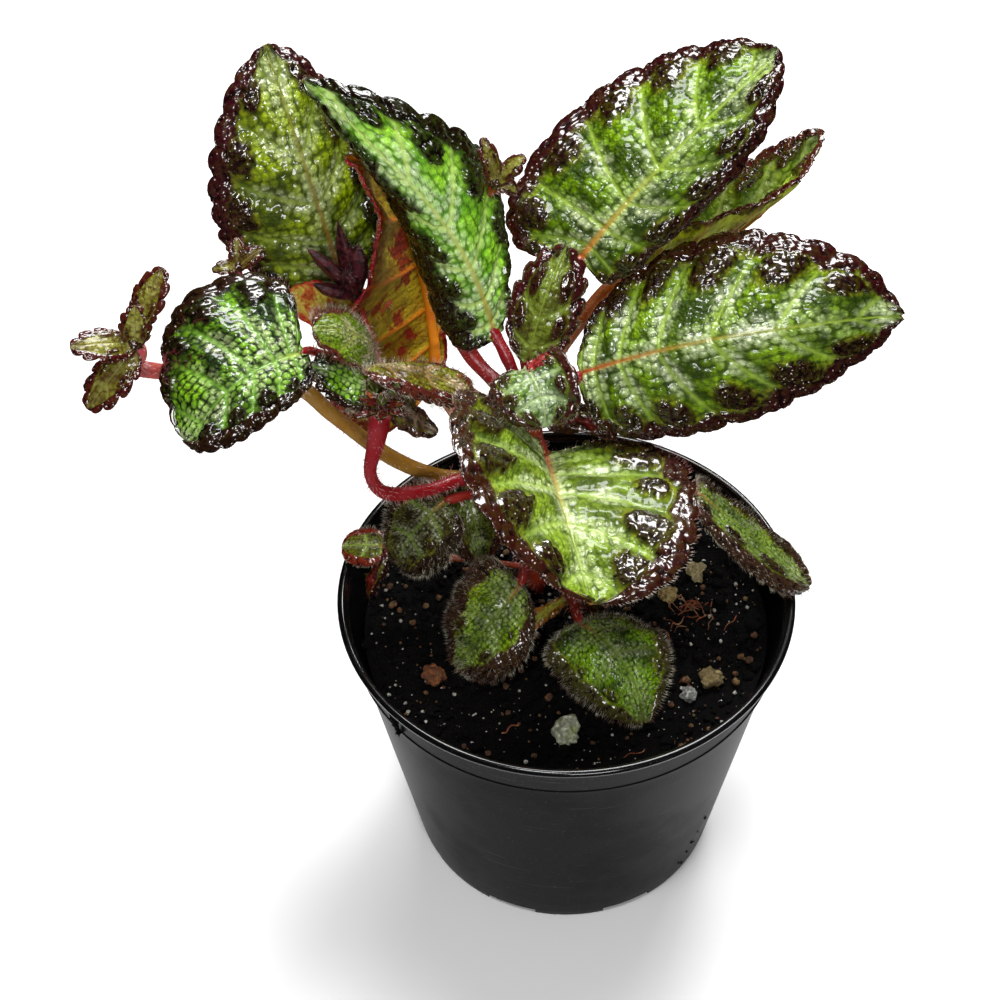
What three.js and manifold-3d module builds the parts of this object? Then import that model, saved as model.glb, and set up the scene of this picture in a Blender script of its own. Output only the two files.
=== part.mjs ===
// Potted flame violet: a black nursery pot with soil, a branching red stem, net-veined
// leaves, runners with young plantlets, a spent flower cup and a few stones in the soil.
// Millimetres, +Z up. The origin is the middle of the pot's flat base.
import * as THREE from 'three';
import { mergeVertices } from 'three/addons/utils/BufferGeometryUtils.js';
import Module from 'manifold-3d';

const wasm = await Module();
wasm.setup();

// Pot and soil
const POT_HEIGHT = 90;
const RIM_RADIUS = 60;
const BASE_RADIUS = 42;
const WALL = 1.4;
const COLLAR_HEIGHT = 9;
const COLLAR_STEP = 0.9;
const RIM_WIDTH = 2.2;
const RIM_ROUND = 0.7;
const FOOT_RISE = 2.4;
const FOOT_ROUND = 0.8;
const FOOT_STEPS = 8;
const FOOT_STEP_SIZE = [12, 14];
const DRAIN_RADIUS = 4;
const DRAIN_CIRCLE = 35;
const POT_SEGMENTS = 36;
const DRAIN_SEGMENTS = 8;
const SOIL_LEVEL = 76;
const SOIL_RINGS = 6;
const SOIL_SEGMENTS = 28;
const SOIL_ROUGHNESS = 1.3;
const STEM_HOLE = { at: [-7, 14.5, 68], radius: 4, length: 22, sides: 8 };
const GAP = 0.3;

// Leaves
const BLADE = 0.8;
const MIDRIB_KEEL = 0.9;
const INNER_COLUMN = 0.45;
const OUTER_COLUMN = 0.85;
const TOOTH_DEPTH = 1.5;
const STALK_SIDES = 5;

const COLOURS = {
  pot: [0x17181a, 0.42],
  soil: [0x15110e, 0.95],
  stem: [0xa3202f, 0.5],
  runner: [0x8a6a2c, 0.55],
  leaf: [0x4f7a26, 0.38],
  underleaf: [0x8a7a22, 0.5],
  hairyLeaf: [0x4c5a2a, 0.6],
  dark: [0x3a1418, 0.5],
  dry: [0x6a5038, 0.8],
  stone: [0xa7a284, 0.85],
};

// Leaf blades. base and tip are the ends of the midrib and face is the way the upper side
// looks. arch, bend and hook are how far the midrib rises, swings and drops, twist and fold
// are degrees. Pairs are left and right of the midrib: half width, place of the widest point,
// roundness towards base and tip, how far the lobe reaches back, and how far the side curls.
const LEAVES = {
  back_left: {
    base: [-55, 46, 155], tip: [-71, 66, 216], face: [0.23, -0.62, 0.75],
    arch: 9, bend: -2, hook: 1, twist: 8, fold: -10,
    half: [27, 20], widest: [0.39, 0.44], full: [0.85, 0.81], sharp: [1.18, 1.08],
    lobe: [0, 0], curl: [33, 26], teeth: 14,
  },
  upper_left: {
    base: [-17, 32, 151], tip: [-60, 37, 219], face: [-0.2, -0.84, 0.5],
    arch: -1, bend: 8, hook: 14, twist: -66, fold: -22,
    half: [21, 20], widest: [0.44, 0.43], full: [0.82, 0.94], sharp: [0.77, 1.35],
    lobe: [0.04, 0], curl: [75, 36], teeth: 14,
  },
  folded_left: {
    base: [-33, 43, 124], tip: [-52, 49.5, 195], face: [-0.49, 0.33, -0.81],
    arch: 4, bend: -13, hook: 0, twist: 90, fold: -14,
    half: [5, 35], widest: [0.36, 0.36], full: [0.85, 0.85], sharp: [1.2, 1.44],
    lobe: [0.04, 0.1], curl: [30, -18], teeth: 14, colour: 'underleaf',
  },
  upper_right: {
    base: [5, 42, 168], tip: [55, 71, 207], face: [-0.25, -0.51, 0.82],
    arch: 5, bend: 0, hook: -1, twist: -33, fold: -1,
    half: [30, 17], widest: [0.39, 0.45], full: [1.06, 0.72], sharp: [0.91, 1.34],
    lobe: [0.21, 0.1], curl: [25, 75], teeth: 14,
  },
  far_right: {
    base: [21, 58, 148], tip: [70, 83, 173], face: [-0.07, -0.1, 0.99],
    arch: -4, bend: 4, hook: -2, twist: 35, fold: 55,
    half: [14, 24], widest: [0.45, 0.44], full: [0.8, 0.8], sharp: [1.07, 0.92],
    lobe: [0.05, 0.05], curl: [11, -5], teeth: 12,
  },
  right: {
    base: [4, 25, 144], tip: [85, 28, 157], face: [-0.05, -0.83, 0.56],
    arch: 6, bend: -4, hook: 8, twist: 26, fold: -15,
    half: [29, 27], widest: [0.42, 0.43], full: [0.76, 0.78], sharp: [0.95, 1.21],
    lobe: [0, 0.03], curl: [36, 24], teeth: 14,
  },
  front: {
    base: [-5, 15, 125], tip: [5, -34, 124], face: [0.49, -0.13, 0.86],
    arch: 6, bend: 5, hook: 1, twist: 14, fold: 24,
    half: [35, 37], widest: [0.4, 0.4], full: [0.64, 0.72], sharp: [0.86, 0.89],
    lobe: [0.12, 0.13], curl: [4, 17], teeth: 14,
  },
  front_left: {
    base: [-64, 13, 164], tip: [-91, -3, 149], face: [-0.35, -0.43, 0.83],
    arch: 7, bend: 1, hook: -2, twist: 29, fold: 14,
    half: [13, 28], widest: [0.5, 0.42], full: [0.67, 0.74], sharp: [0.87, 0.62],
    lobe: [0.04, 0.18], curl: [66, 31], teeth: 12,
  },
  heart_upright: {
    base: [-9, 24, 149], tip: [1, 37, 176], face: [0.02, -0.7, 0.72],
    arch: 2, bend: -1, hook: 0, twist: -2, fold: -7,
    half: [9, 11], widest: [0.47, 0.49], full: [0.86, 0.84], sharp: [1.01, 0.95],
    lobe: [0, 0], curl: [25, 28], teeth: 8,
  },
  heart_curled: {
    base: [-9, 19, 151], tip: [-5, 8, 142], face: [0.25, -0.45, 0.85],
    arch: 3, bend: 0, hook: 0, twist: 0, fold: 5,
    half: [11, 13], widest: [0.42, 0.42], full: [0.6, 0.6], sharp: [0.8, 0.9],
    lobe: [0.2, 0.2], curl: [-55, 60], teeth: 7,
  },
  hairy_mid: {
    base: [-47, 10, 157], tip: [-23, 15, 150.5], face: [-0.05, 0.2, 0.97],
    arch: 4, bend: 0, hook: 0, twist: 0, fold: 0,
    half: [9, 9], widest: [0.5, 0.5], full: [0.6, 0.6], sharp: [0.8, 0.8],
    lobe: [0.05, 0.05], curl: [35, 60], teeth: 7, colour: 'hairyLeaf',
  },
  hairy_top: {
    base: [-47, 21, 156], tip: [-61, 14, 171], face: [0.1, -0.35, 0.92],
    arch: 4, bend: 0, hook: 0, twist: 0, fold: 0,
    half: [8, 10], widest: [0.5, 0.5], full: [0.6, 0.6], sharp: [0.8, 0.8],
    lobe: [0.05, 0.05], curl: [60, 60], teeth: 7, colour: 'hairyLeaf',
  },
  back_small: {
    base: [-52, 38, 151], tip: [-69, 40, 160], face: [0.1, 0.69, -0.72],
    arch: 1, bend: 0, hook: 0, twist: 0, fold: 0,
    half: [7, 6], widest: [0.42, 0.42], full: [0.85, 0.85], sharp: [1.2, 1.2],
    lobe: [0.05, 0.05], curl: [20, 20], teeth: 5, colour: 'underleaf',
  },
  low_right: {
    base: [33, 6, 120], tip: [63, -2, 91], face: [0.39, -0.19, 0.9],
    arch: 3, bend: 2, hook: 0, twist: 15, fold: -1,
    half: [14, 8], widest: [0.49, 0.53], full: [0.69, 0.71], sharp: [0.8, 0.77],
    lobe: [0.06, 0.04], curl: [66, 60], teeth: 8, colour: 'hairyLeaf',
  },
  low_front_left: {
    base: [-12, -7, 100], tip: [-30, -17, 80], face: [-0.36, -0.44, 0.82],
    arch: 4, bend: -2, hook: 3, twist: 10, fold: -1,
    half: [13, 20], widest: [0.51, 0.49], full: [0.73, 0.58], sharp: [0.89, 0.9],
    lobe: [0, 0.06], curl: [40, 52], teeth: 8, colour: 'hairyLeaf',
  },
  low_front: {
    base: [3, -15, 94], tip: [19, -36, 80], face: [0.12, -0.42, 0.9],
    arch: 6, bend: -2, hook: 3, twist: 15, fold: -6,
    half: [18, 16], widest: [0.45, 0.4], full: [0.61, 0.63], sharp: [1.01, 1.03],
    lobe: [0.04, 0.1], curl: [50, 55], teeth: 8, colour: 'hairyLeaf',
  },
  low_left: {
    base: [-31, 12, 112], tip: [-44, 8, 92], face: [-0.3, -0.5, 0.8],
    arch: 4, bend: 0, hook: 0, twist: 0, fold: 0,
    half: [12, 14], widest: [0.5, 0.5], full: [0.6, 0.6], sharp: [0.8, 0.8],
    lobe: [0.05, 0.05], curl: [60, 40], teeth: 7, colour: 'hairyLeaf',
  },
  low_mid: {
    base: [-26, 20, 112], tip: [-22, 9, 91], face: [0.1, -0.5, 0.86],
    arch: 3, bend: 0, hook: 0, twist: 0, fold: 0,
    half: [9, 8], widest: [0.5, 0.5], full: [0.6, 0.6], sharp: [0.8, 0.8],
    lobe: [0.05, 0.05], curl: [50, 50], teeth: 6, colour: 'hairyLeaf',
  },
  tiny_left: {
    base: [-48, 13, 94], tip: [-59, 15, 92], face: [0, -0.3, 0.95],
    arch: 1, bend: 0, hook: 0, twist: 0, fold: 0,
    half: [6, 6], widest: [0.42, 0.42], full: [0.6, 0.6], sharp: [0.8, 0.8],
    lobe: [0.05, 0.05], curl: [30, 30], teeth: 5, colour: 'hairyLeaf',
  },
};

// The left or the right number of a pair, for a place v across the blade.
function sided(pair, v) {
  return v > 0 ? pair[1] : pair[0];
}

// The frame of a leaf: along the midrib, out of the upper side, and to the right.
function leafFrame(leaf) {
  const base = new THREE.Vector3(...leaf.base);
  const tip = new THREE.Vector3(...leaf.tip);
  const along = tip.clone().sub(base);
  const length = along.length();
  along.normalize();
  const up = new THREE.Vector3(...leaf.face);
  up.addScaledVector(along, -up.dot(along)).normalize();
  const right = new THREE.Vector3().crossVectors(along, up);
  return { base, length, along, up, right };
}

// A point of the blade's middle surface: s runs from base to tip along the margin and v from
// -1 at the left margin over 0 at the midrib to 1 at the right margin.
function leafPoint(leaf, frame, s, v) {
  const { base, length, along, up, right } = frame;
  const a = Math.abs(v);
  const theta = Math.PI * s;
  const nearBase = s < 0.5;
  const widest = sided(leaf.widest, v);
  const half = sided(leaf.half, v);
  const power = nearBase ? sided(leaf.full, v) : sided(leaf.sharp, v);
  const width = half * Math.pow(Math.max(Math.sin(theta), 0), power);
  const reach = nearBase
    ? widest * (1 - Math.cos(theta)) - sided(leaf.lobe, v) * Math.sin(2 * theta)
    : widest - (1 - widest) * Math.cos(theta);
  const foot = length * s * s;
  const x = foot + (length * reach - foot) * Math.pow(a, 1.35);
  const out = width * a;
  const t = x / length;
  const end = Math.max((t - 0.6) / 0.4, 0);
  const rise = leaf.arch * 4 * t * (1 - t) - leaf.hook * end * end;
  const slope = (leaf.arch * 4 * (1 - 2 * t) - leaf.hook * 5 * end) / length;
  const tilt = 1 / Math.hypot(1, slope);
  const swing = leaf.bend * 4 * t * (1 - t);
  const turn = THREE.MathUtils.degToRad(leaf.twist) * (THREE.MathUtils.clamp(t, 0, 1) - 0.5);
  const fold = THREE.MathUtils.degToRad(leaf.fold);
  const curl = THREE.MathUtils.degToRad(sided(leaf.curl, v) || 0.01) / half;
  const flat = Math.sign(v) * (Math.sin(fold) - Math.sin(fold - curl * out)) / curl;
  const lift = (Math.cos(fold - curl * out) - Math.cos(fold)) / curl;
  const across = flat * Math.cos(turn) + lift * Math.sin(turn) + swing;
  const high = lift * Math.cos(turn) - flat * Math.sin(turn);
  return base.clone()
    .addScaledVector(along, x - high * slope * tilt)
    .addScaledVector(up, rise + high * tilt)
    .addScaledVector(right, across);
}

// One thin closed blade. The margin has rounded teeth, the surface bulges between the side
// veins, and the midrib stands out as a keel beneath.
function bladeGeometry(leaf) {
  const frame = leafFrame(leaf);
  const rows = 2 * leaf.teeth;
  const size = Math.max(...leaf.half);
  const notch = Math.min(0.09, TOOTH_DEPTH / size);
  const relief = Math.min(0.7, 0.035 * size);
  const points = [];
  const keel = [];
  const add = (s, v, bulge, rib) => {
    points.push({ at: leafPoint(leaf, frame, s, v), bulge });
    keel.push(rib);
    return points.length - 1;
  };
  const baseId = add(0, 0, 0, MIDRIB_KEEL);
  const tipId = add(1, 0, 0, 0);
  const line = (v, step) => {
    const ids = [baseId];
    for (let i = step; i < rows; i += step) {
      const s = i / rows;
      const blister = (i / 2) % 2 === 0 ? relief : -0.5 * relief;
      const atMargin = Math.abs(v) === 1;
      const toothed = atMargin && i % 2 === 0 ? v * (1 - notch) : v;
      const atRib = v === 0;
      const bulge = atMargin || atRib || i % 2 ? 0 : blister;
      ids.push(add(s, toothed, bulge, atRib ? MIDRIB_KEEL * (1 - s) : 0));
    }
    ids.push(tipId);
    return ids;
  };
  const midrib = line(0, 2);
  const faces = [];
  const triangle = (a, b, c, flip) => {
    if (a !== b && b !== c && a !== c) faces.push(flip ? [a, c, b] : [a, b, c]);
  };
  const margins = [];
  for (const side of [-1, 1]) {
    const inner = line(side * INNER_COLUMN, 2);
    const outer = line(side * OUTER_COLUMN, 1);
    const margin = line(side, 1);
    const flip = side < 0;
    for (let j = 0; j < leaf.teeth; j += 1) {
      triangle(midrib[j], inner[j], inner[j + 1], !flip);
      triangle(midrib[j], inner[j + 1], midrib[j + 1], !flip);
      triangle(inner[j], outer[2 * j], outer[2 * j + 1], !flip);
      triangle(inner[j], outer[2 * j + 1], inner[j + 1], !flip);
      triangle(inner[j + 1], outer[2 * j + 1], outer[2 * j + 2], !flip);
    }
    for (let i = 0; i < rows; i += 1) {
      triangle(outer[i], margin[i], margin[i + 1], !flip);
      triangle(outer[i], margin[i + 1], outer[i + 1], !flip);
    }
    margins.push({ margin, flip });
  }
  const normals = points.map(() => new THREE.Vector3());
  const edgeA = new THREE.Vector3();
  const edgeB = new THREE.Vector3();
  for (const [a, b, c] of faces) {
    edgeA.subVectors(points[b].at, points[a].at);
    edgeB.subVectors(points[c].at, points[a].at);
    edgeA.cross(edgeB).normalize();
    for (const id of [a, b, c]) normals[id].add(edgeA);
  }
  const count = points.length;
  const position = [];
  for (const side of [0.5, -0.5]) {
    points.forEach(({ at, bulge }, id) => {
      const normal = normals[id].clone().normalize();
      const offset = side * BLADE + bulge - (side < 0 ? keel[id] : 0);
      position.push(...at.clone().addScaledVector(normal, offset).toArray());
    });
  }
  const index = [];
  for (const [a, b, c] of faces) {
    index.push(a, b, c, a + count, c + count, b + count);
  }
  for (const { margin, flip } of margins) {
    for (let i = 0; i < rows; i += 1) {
      const a = flip ? margin[i] : margin[i + 1];
      const b = flip ? margin[i + 1] : margin[i];
      index.push(a, a + count, b + count, a, b + count, b);
    }
  }
  const geometry = new THREE.BufferGeometry();
  geometry.setAttribute('position', new THREE.Float32BufferAttribute(position, 3));
  geometry.setIndex(index);
  return geometry;
}

// A closed geometry as a solid for joining and cutting, and back again.
function solid(geometry) {
  const bare = geometry.clone();
  bare.deleteAttribute('normal');
  bare.deleteAttribute('uv');
  const merged = mergeVertices(bare, 1e-4);
  return new wasm.Manifold(new wasm.Mesh({
    numProp: 3,
    vertProperties: new Float32Array(merged.attributes.position.array),
    triVerts: new Uint32Array(merged.index.array),
  }));
}

function geometryOf(body) {
  const { vertProperties, triVerts } = body.getMesh();
  const geometry = new THREE.BufferGeometry();
  geometry.setAttribute('position', new THREE.BufferAttribute(vertProperties, 3));
  geometry.setIndex(new THREE.BufferAttribute(triVerts, 1));
  return geometry;
}

// The largest body that a cut leaves: loose scraps are dropped.
function largest(body) {
  const bodies = body.decompose();
  return bodies.reduce((best, next) => (next.volume() > best.volume() ? next : best));
}

function joined(bodies) {
  return bodies.reduce((sum, next) => sum.add(next));
}

// A round stalk along a smooth curve through the given points.
function stalk(points, radius, steps) {
  const curve = new THREE.CatmullRomCurve3(points.map((p) => new THREE.Vector3(...p)));
  const section = new THREE.Shape();
  for (let i = 0; i < STALK_SIDES; i += 1) {
    const angle = (2 * Math.PI * i) / STALK_SIDES;
    const x = radius * Math.cos(angle);
    const y = radius * Math.sin(angle);
    if (i === 0) section.moveTo(x, y);
    else section.lineTo(x, y);
  }
  return new THREE.ExtrudeGeometry(section, { steps, extrudePath: curve, bevelEnabled: false });
}

function ball({ at, radius }, grow = 0) {
  return solid(new THREE.IcosahedronGeometry(radius + grow, 1).translate(...at));
}

// A small leaf given by its ends, the way it faces and its half width.
function smallLeaf(base, tip, face, half, curl = 30, teeth = 4) {
  return {
    base, tip, face, arch: 1, bend: 0, hook: 0.5, twist: 0, fold: 4,
    half: [half, half], widest: [0.5, 0.5], full: [0.7, 0.7], sharp: [0.9, 0.9],
    lobe: [0, 0], curl: [curl, curl], teeth,
  };
}

// Stalks that grow together as one red body: the main stem out of the soil, the leaf stalks,
// and the crimson runner that swings down and up again to the hanging rosette.
const MAIN_STEM = { path: [[-7, 14, 58], [-7, 15, 80], [-6, 17, 105], [-9, 20, 134]], radius: 3 };
const STEM_HEAD = { at: [-9, 20, 134], radius: 3.1 };
const ROSETTE = { at: [-45, 11, 150], radius: 2.4 };
const RED_STALKS = {
  branch: { path: [[-6, 18, 122], [-10, 20, 135], [-16, 24, 141], [-21, 28, 144]], radius: 2.4 },
  upper_left: { path: [[-10, 21, 136], [-13, 26, 145], [-17, 32.5, 149.5]], radius: 1.6 },
  folded_left: { path: [[-8, 19, 112], [-24, 34, 114], [-33, 43, 123.5]], radius: 1.7 },
  back_left: { path: [[-20, 27, 142], [-26, 42, 146], [-42, 48, 150], [-54.8, 45.8, 154.4]], radius: 1.5 },
  upper_right: { path: [[-9, 20, 133], [-1, 27, 146], [6, 35, 154], [5, 41.8, 167.4]], radius: 1.8 },
  far_right: { path: [[-8, 20, 130], [4, 34, 138], [14, 48, 144], [20.6, 54.6, 147.6]], radius: 1.5 },
  right: { path: [[-9, 19, 132], [-2, 22, 138], [3.4, 24.7, 143.6]], radius: 1.7 },
  front: { path: [[-8, 19, 124], [-7, 19, 126.5], [-5, 15.5, 125]], radius: 1.6 },
  heart_upright: { path: [[-9, 20, 135], [-9, 23, 142], [-9, 24, 148.5]], radius: 1.4 },
  heart_curled: { path: [[-9, 20, 135], [-10, 18, 144], [-9, 19.3, 150.5]], radius: 1.2 },
  plantlet: { path: [[-8, 21, 134], [-8, 40, 150], [-11, 45, 170], [-15, 44, 188]], radius: 1 },
  low_right: { path: [[-6, 16, 96], [8, 12, 104], [22, 8, 113], [32.5, 6, 119.6]], radius: 1.2 },
  low_front: { path: [[-7, 15, 84], [0, 1, 89], [2.8, -14.4, 94]], radius: 1.3 },
  low_front_left: { path: [[-7, 15, 88], [-10, 5, 96], [-12, -6.4, 100]], radius: 1.3 },
  low_left: { path: [[-7, 17, 100], [-20, 18, 108], [-30.5, 12.6, 112.2]], radius: 1.3 },
  low_mid: { path: [[-7, 16, 102], [-18, 19, 110], [-25.8, 20, 112.4]], radius: 1.2 },
  tiny_left: { path: [[-7, 15, 82], [-26, 13, 88], [-47.5, 13, 94]], radius: 0.9 },
  runner: {
    path: [[-7, 18, 108], [-24, 18, 114], [-36, 10, 118], [-46, 5, 123], [-49, 4, 131],
      [-47, 7, 140], [-45, 11, 150]],
    radius: 1.9,
  },
  back_small: { path: [[-44, 47.5, 150], [-48, 43, 149], [-51.7, 38.4, 150.6]], radius: 0.9 },
  hairy_mid: { path: [[-45, 11, 150], [-48, 8, 154], [-47.3, 9.8, 156.5]], radius: 1 },
  hairy_top: { path: [[-45, 11, 150], [-46, 17, 152], [-47, 20.6, 155.5]], radius: 1 },
  front_left: { path: [[-45, 11, 150], [-54, 11, 159], [-63.4, 12.8, 163.8]], radius: 1.4 },
};

// The tan runner to the far left plantlet, with a side shoot.
const TAN_STALKS = {
  runner: {
    path: [[-7, 19, 104], [-20, 26, 105], [-32.5, 25, 108], [-43, 21, 118], [-58, 14, 142],
      [-66, 15, 151], [-80, 18, 151], [-92, 22, 149], [-103, 19, 154], [-104, 10, 164],
      [-101, 2.5, 175]],
    radius: 2,
  },
  shoot: { path: [[-80, 18, 151], [-79, 32, 160], [-80, 36, 170]], radius: 0.8 },
};

const FAR_LEFT = { at: [-101, 1, 179], radius: 1.7 };
const FAR_LEFT_STALK = { path: [[-101, 1, 179], [-100, 2, 185]], radius: 0.8 };
const FAR_LEFT_LEAVES = [
  smallLeaf([-100, 2, 184], [-93, 8, 196], [-0.2, -0.6, 0.75], 4.5, 30, 3),
  smallLeaf([-102, 1, 179], [-115, -4, 183], [0, -0.4, 0.9], 4.5, 30, 3),
  smallLeaf([-101, 0, 178], [-113, -8, 167], [-0.1, -0.6, 0.75], 5.5),
  smallLeaf([-101, 1, 179], [-100, 3, 189], [0.1, -0.6, 0.75], 4, 30, 3),
  smallLeaf([-101, 1, 179], [-108, -2, 178], [0.1, -0.5, 0.85], 3, 30, 3),
];
const SHOOT_LEFT = { at: [-80, 36, 172], radius: 1.5 };
const SHOOT_LEFT_LEAVES = [
  smallLeaf([-80, 36, 172], [-86, 34, 173], [0, -0.5, 0.85], 2, 20, 3),
  smallLeaf([-80, 36, 172], [-80, 40, 178], [0, -0.7, 0.7], 2.4, 20, 3),
  smallLeaf([-80, 36, 172], [-74, 38, 176], [0, -0.6, 0.8], 2.2, 20, 3),
];
const SHOOT_BACK = { at: [-16, 43, 191], radius: 1.5 };
const SHOOT_BACK_LEAVES = [
  smallLeaf([-16, 43, 191], [-19, 45, 203], [0.2, -0.7, 0.7], 2.6, 20, 3),
  smallLeaf([-16, 43, 191], [-9, 44, 198], [-0.2, -0.5, 0.8], 3, 60, 3),
  smallLeaf([-16, 43, 191], [-11, 42, 189], [0.2, -0.6, 0.7], 2.2, 20, 3),
];

// Leaves that have dried, curled or not yet opened.
const LOOSE_LEAVES = {
  leaf_withered: [[-44, 13, 149], [-33, 13, 136], [0.3, -0.6, 0.7], 6, 110, 4, 'dry'],
  leaf_young_dark: [[-5, 23, 131], [14, 20, 128], [0, -0.4, 0.9], 6, -70, 4, 'dark'],
  leaf_curled_strip: [[-47, 13, 93], [-53, 7, 80], [-0.4, -0.6, 0.7], 2.4, 100, 4, 'dark'],
  bract_dry: [[1, -1, 89], [-12, -8, 82], [0, -0.4, 0.9], 2.2, 40, 4, 'dry'],
  leaf_small_red: [[1, -4, 90], [13, -10, 84], [0.2, -0.4, 0.9], 4, 40, 4, 'dark'],
};

// The spent flower cup: its foot, the tips of its lobes, and a lobe's radius along its length.
const CALYX_FOOT = { at: [-52, 38, 161], radius: 2.2 };
const CALYX_LOBE = [[0, 0], [1.7, 0.1], [2.5, 0.4], [2.1, 0.68], [0, 1]];
const CALYX_SIDES = 5;
const CALYX_TIPS = [[-64, 38, 177], [-54, 42, 183], [-47, 40, 176], [-63, 33, 167], [-52, 32, 172]];
const CALYX_STALK = { path: [[-44, 12, 151], [-47, 24, 154], [-52, 38, 161]], radius: 0.9 };

// Stones in the soil: middle, radius and flattening.
const STONES = {
  stone_white: { at: [-1, -37, 77], radius: 3.6, flat: 0.75 },
  stone_grey: { at: [31, -26, 76.8], radius: 2, flat: 0.8 },
  stone_cream: { at: [36, 16, 77], radius: 2.8, flat: 0.7 },
  stone_ochre: { at: [28, 8, 77], radius: 2.4, flat: 0.7 },
  stone_tan: { at: [37, -21, 77], radius: 3, flat: 0.6 },
  stone_brown: { at: [-35, -18, 77], radius: 2.8, flat: 0.65 },
};

function wallRadius(z) {
  return BASE_RADIUS + ((RIM_RADIUS - 2 - BASE_RADIUS) * z) / POT_HEIGHT;
}

// Nursery pot: flat foot, tapered wall, a collar below the rolled rim. The foot is stepped up
// in eight places round the edge, each with a drain hole.
function potBody() {
  const collarFoot = POT_HEIGHT - COLLAR_HEIGHT;
  const collarRadius = wallRadius(collarFoot);
  const floor = FOOT_RISE + WALL;
  const profile = [
    [0, 0], [BASE_RADIUS - FOOT_ROUND, 0], [BASE_RADIUS, FOOT_ROUND],
    [collarRadius, collarFoot],
    [collarRadius + COLLAR_STEP, collarFoot + COLLAR_STEP],
    [RIM_RADIUS - RIM_ROUND, POT_HEIGHT - 3.6 * RIM_ROUND],
    [RIM_RADIUS, POT_HEIGHT - 2.6 * RIM_ROUND],
    [RIM_RADIUS, POT_HEIGHT - RIM_ROUND],
    [RIM_RADIUS - RIM_ROUND, POT_HEIGHT],
    [RIM_RADIUS - RIM_WIDTH, POT_HEIGHT],
    [RIM_RADIUS - RIM_WIDTH - RIM_ROUND, POT_HEIGHT - 1.7 * RIM_ROUND],
    [collarRadius - 0.7 * WALL, collarFoot],
    [BASE_RADIUS - WALL, floor + 0.5 * WALL],
    [BASE_RADIUS - 1.7 * WALL, floor],
    [0, floor],
  ];
  const points = profile.map(([r, z]) => new THREE.Vector2(r, z));
  let body = solid(new THREE.LatheGeometry(points, POT_SEGMENTS).rotateX(Math.PI / 2));
  for (let i = 0; i < FOOT_STEPS; i += 1) {
    const angle = ((i + 0.5) * 2 * Math.PI) / FOOT_STEPS;
    const step = new THREE.BoxGeometry(...FOOT_STEP_SIZE, 2 * FOOT_RISE)
      .translate(BASE_RADIUS, 0, 0).rotateZ(angle);
    const drain = new THREE.CylinderGeometry(DRAIN_RADIUS, DRAIN_RADIUS, 4 * floor, DRAIN_SEGMENTS)
      .rotateX(Math.PI / 2).translate(DRAIN_CIRCLE, 0, 0).rotateZ(angle);
    body = body.subtract(solid(step)).subtract(solid(drain));
  }
  return body;
}

// Soil: fills the pot a little below the rim, with a crumbly top.
function soilBody() {
  const floor = FOOT_RISE + WALL + GAP;
  const clear = WALL + GAP + 0.6;
  const position = [0, 0, SOIL_LEVEL, 0, 0, floor];
  const ringStart = [];
  for (let ring = 1; ring <= SOIL_RINGS; ring += 1) {
    ringStart.push(position.length / 3);
    const outermost = ring === SOIL_RINGS;
    const radius = ((wallRadius(SOIL_LEVEL) - clear) * ring) / SOIL_RINGS;
    for (let i = 0; i < SOIL_SEGMENTS; i += 1) {
      const angle = (2 * Math.PI * (i + 0.5 * (ring % 2))) / SOIL_SEGMENTS;
      const x = radius * Math.cos(angle);
      const y = radius * Math.sin(angle);
      const crumb = Math.sin(1.9 * x + 0.7 * y) * Math.cos(1.3 * y - 0.8 * x);
      const swell = Math.sin(0.13 * x + 1) * Math.cos(0.11 * y);
      const rough = outermost ? 0.4 : 1;
      position.push(x, y, SOIL_LEVEL + rough * SOIL_ROUGHNESS * (0.45 * crumb + 0.55 * swell));
    }
  }
  const lower = position.length / 3;
  for (let i = 0; i < SOIL_SEGMENTS; i += 1) {
    const angle = (2 * Math.PI * (i + 0.5 * (SOIL_RINGS % 2))) / SOIL_SEGMENTS;
    const radius = BASE_RADIUS - clear - 1;
    position.push(radius * Math.cos(angle), radius * Math.sin(angle), floor);
  }
  const index = [];
  for (let i = 0; i < SOIL_SEGMENTS; i += 1) {
    const j = (i + 1) % SOIL_SEGMENTS;
    index.push(0, ringStart[0] + i, ringStart[0] + j);
    for (let ring = 1; ring < SOIL_RINGS; ring += 1) {
      const inner = ringStart[ring - 1];
      const outer = ringStart[ring];
      index.push(inner + i, outer + i, outer + j, inner + i, outer + j, inner + j);
    }
    const edge = ringStart[SOIL_RINGS - 1];
    index.push(edge + i, lower + i, lower + j, edge + i, lower + j, edge + j);
    index.push(1, lower + j, lower + i);
  }
  const geometry = new THREE.BufferGeometry();
  geometry.setAttribute('position', new THREE.Float32BufferAttribute(position, 3));
  geometry.setIndex(index);
  return solid(geometry);
}

function stone({ at, radius, flat }, grow = 0) {
  const geometry = new THREE.IcosahedronGeometry(1, 1);
  const place = geometry.attributes.position;
  const point = new THREE.Vector3();
  for (let i = 0; i < place.count; i += 1) {
    point.fromBufferAttribute(place, i);
    const lump = 1 + 0.14 * Math.sin(2.1 * at[0] + 3 * point.x) * Math.cos(2.6 * point.y + at[1]);
    point.multiplyScalar(radius * lump + grow);
    place.setXYZ(i, point.x, point.y, point.z * flat);
  }
  return solid(geometry.translate(...at));
}

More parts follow.
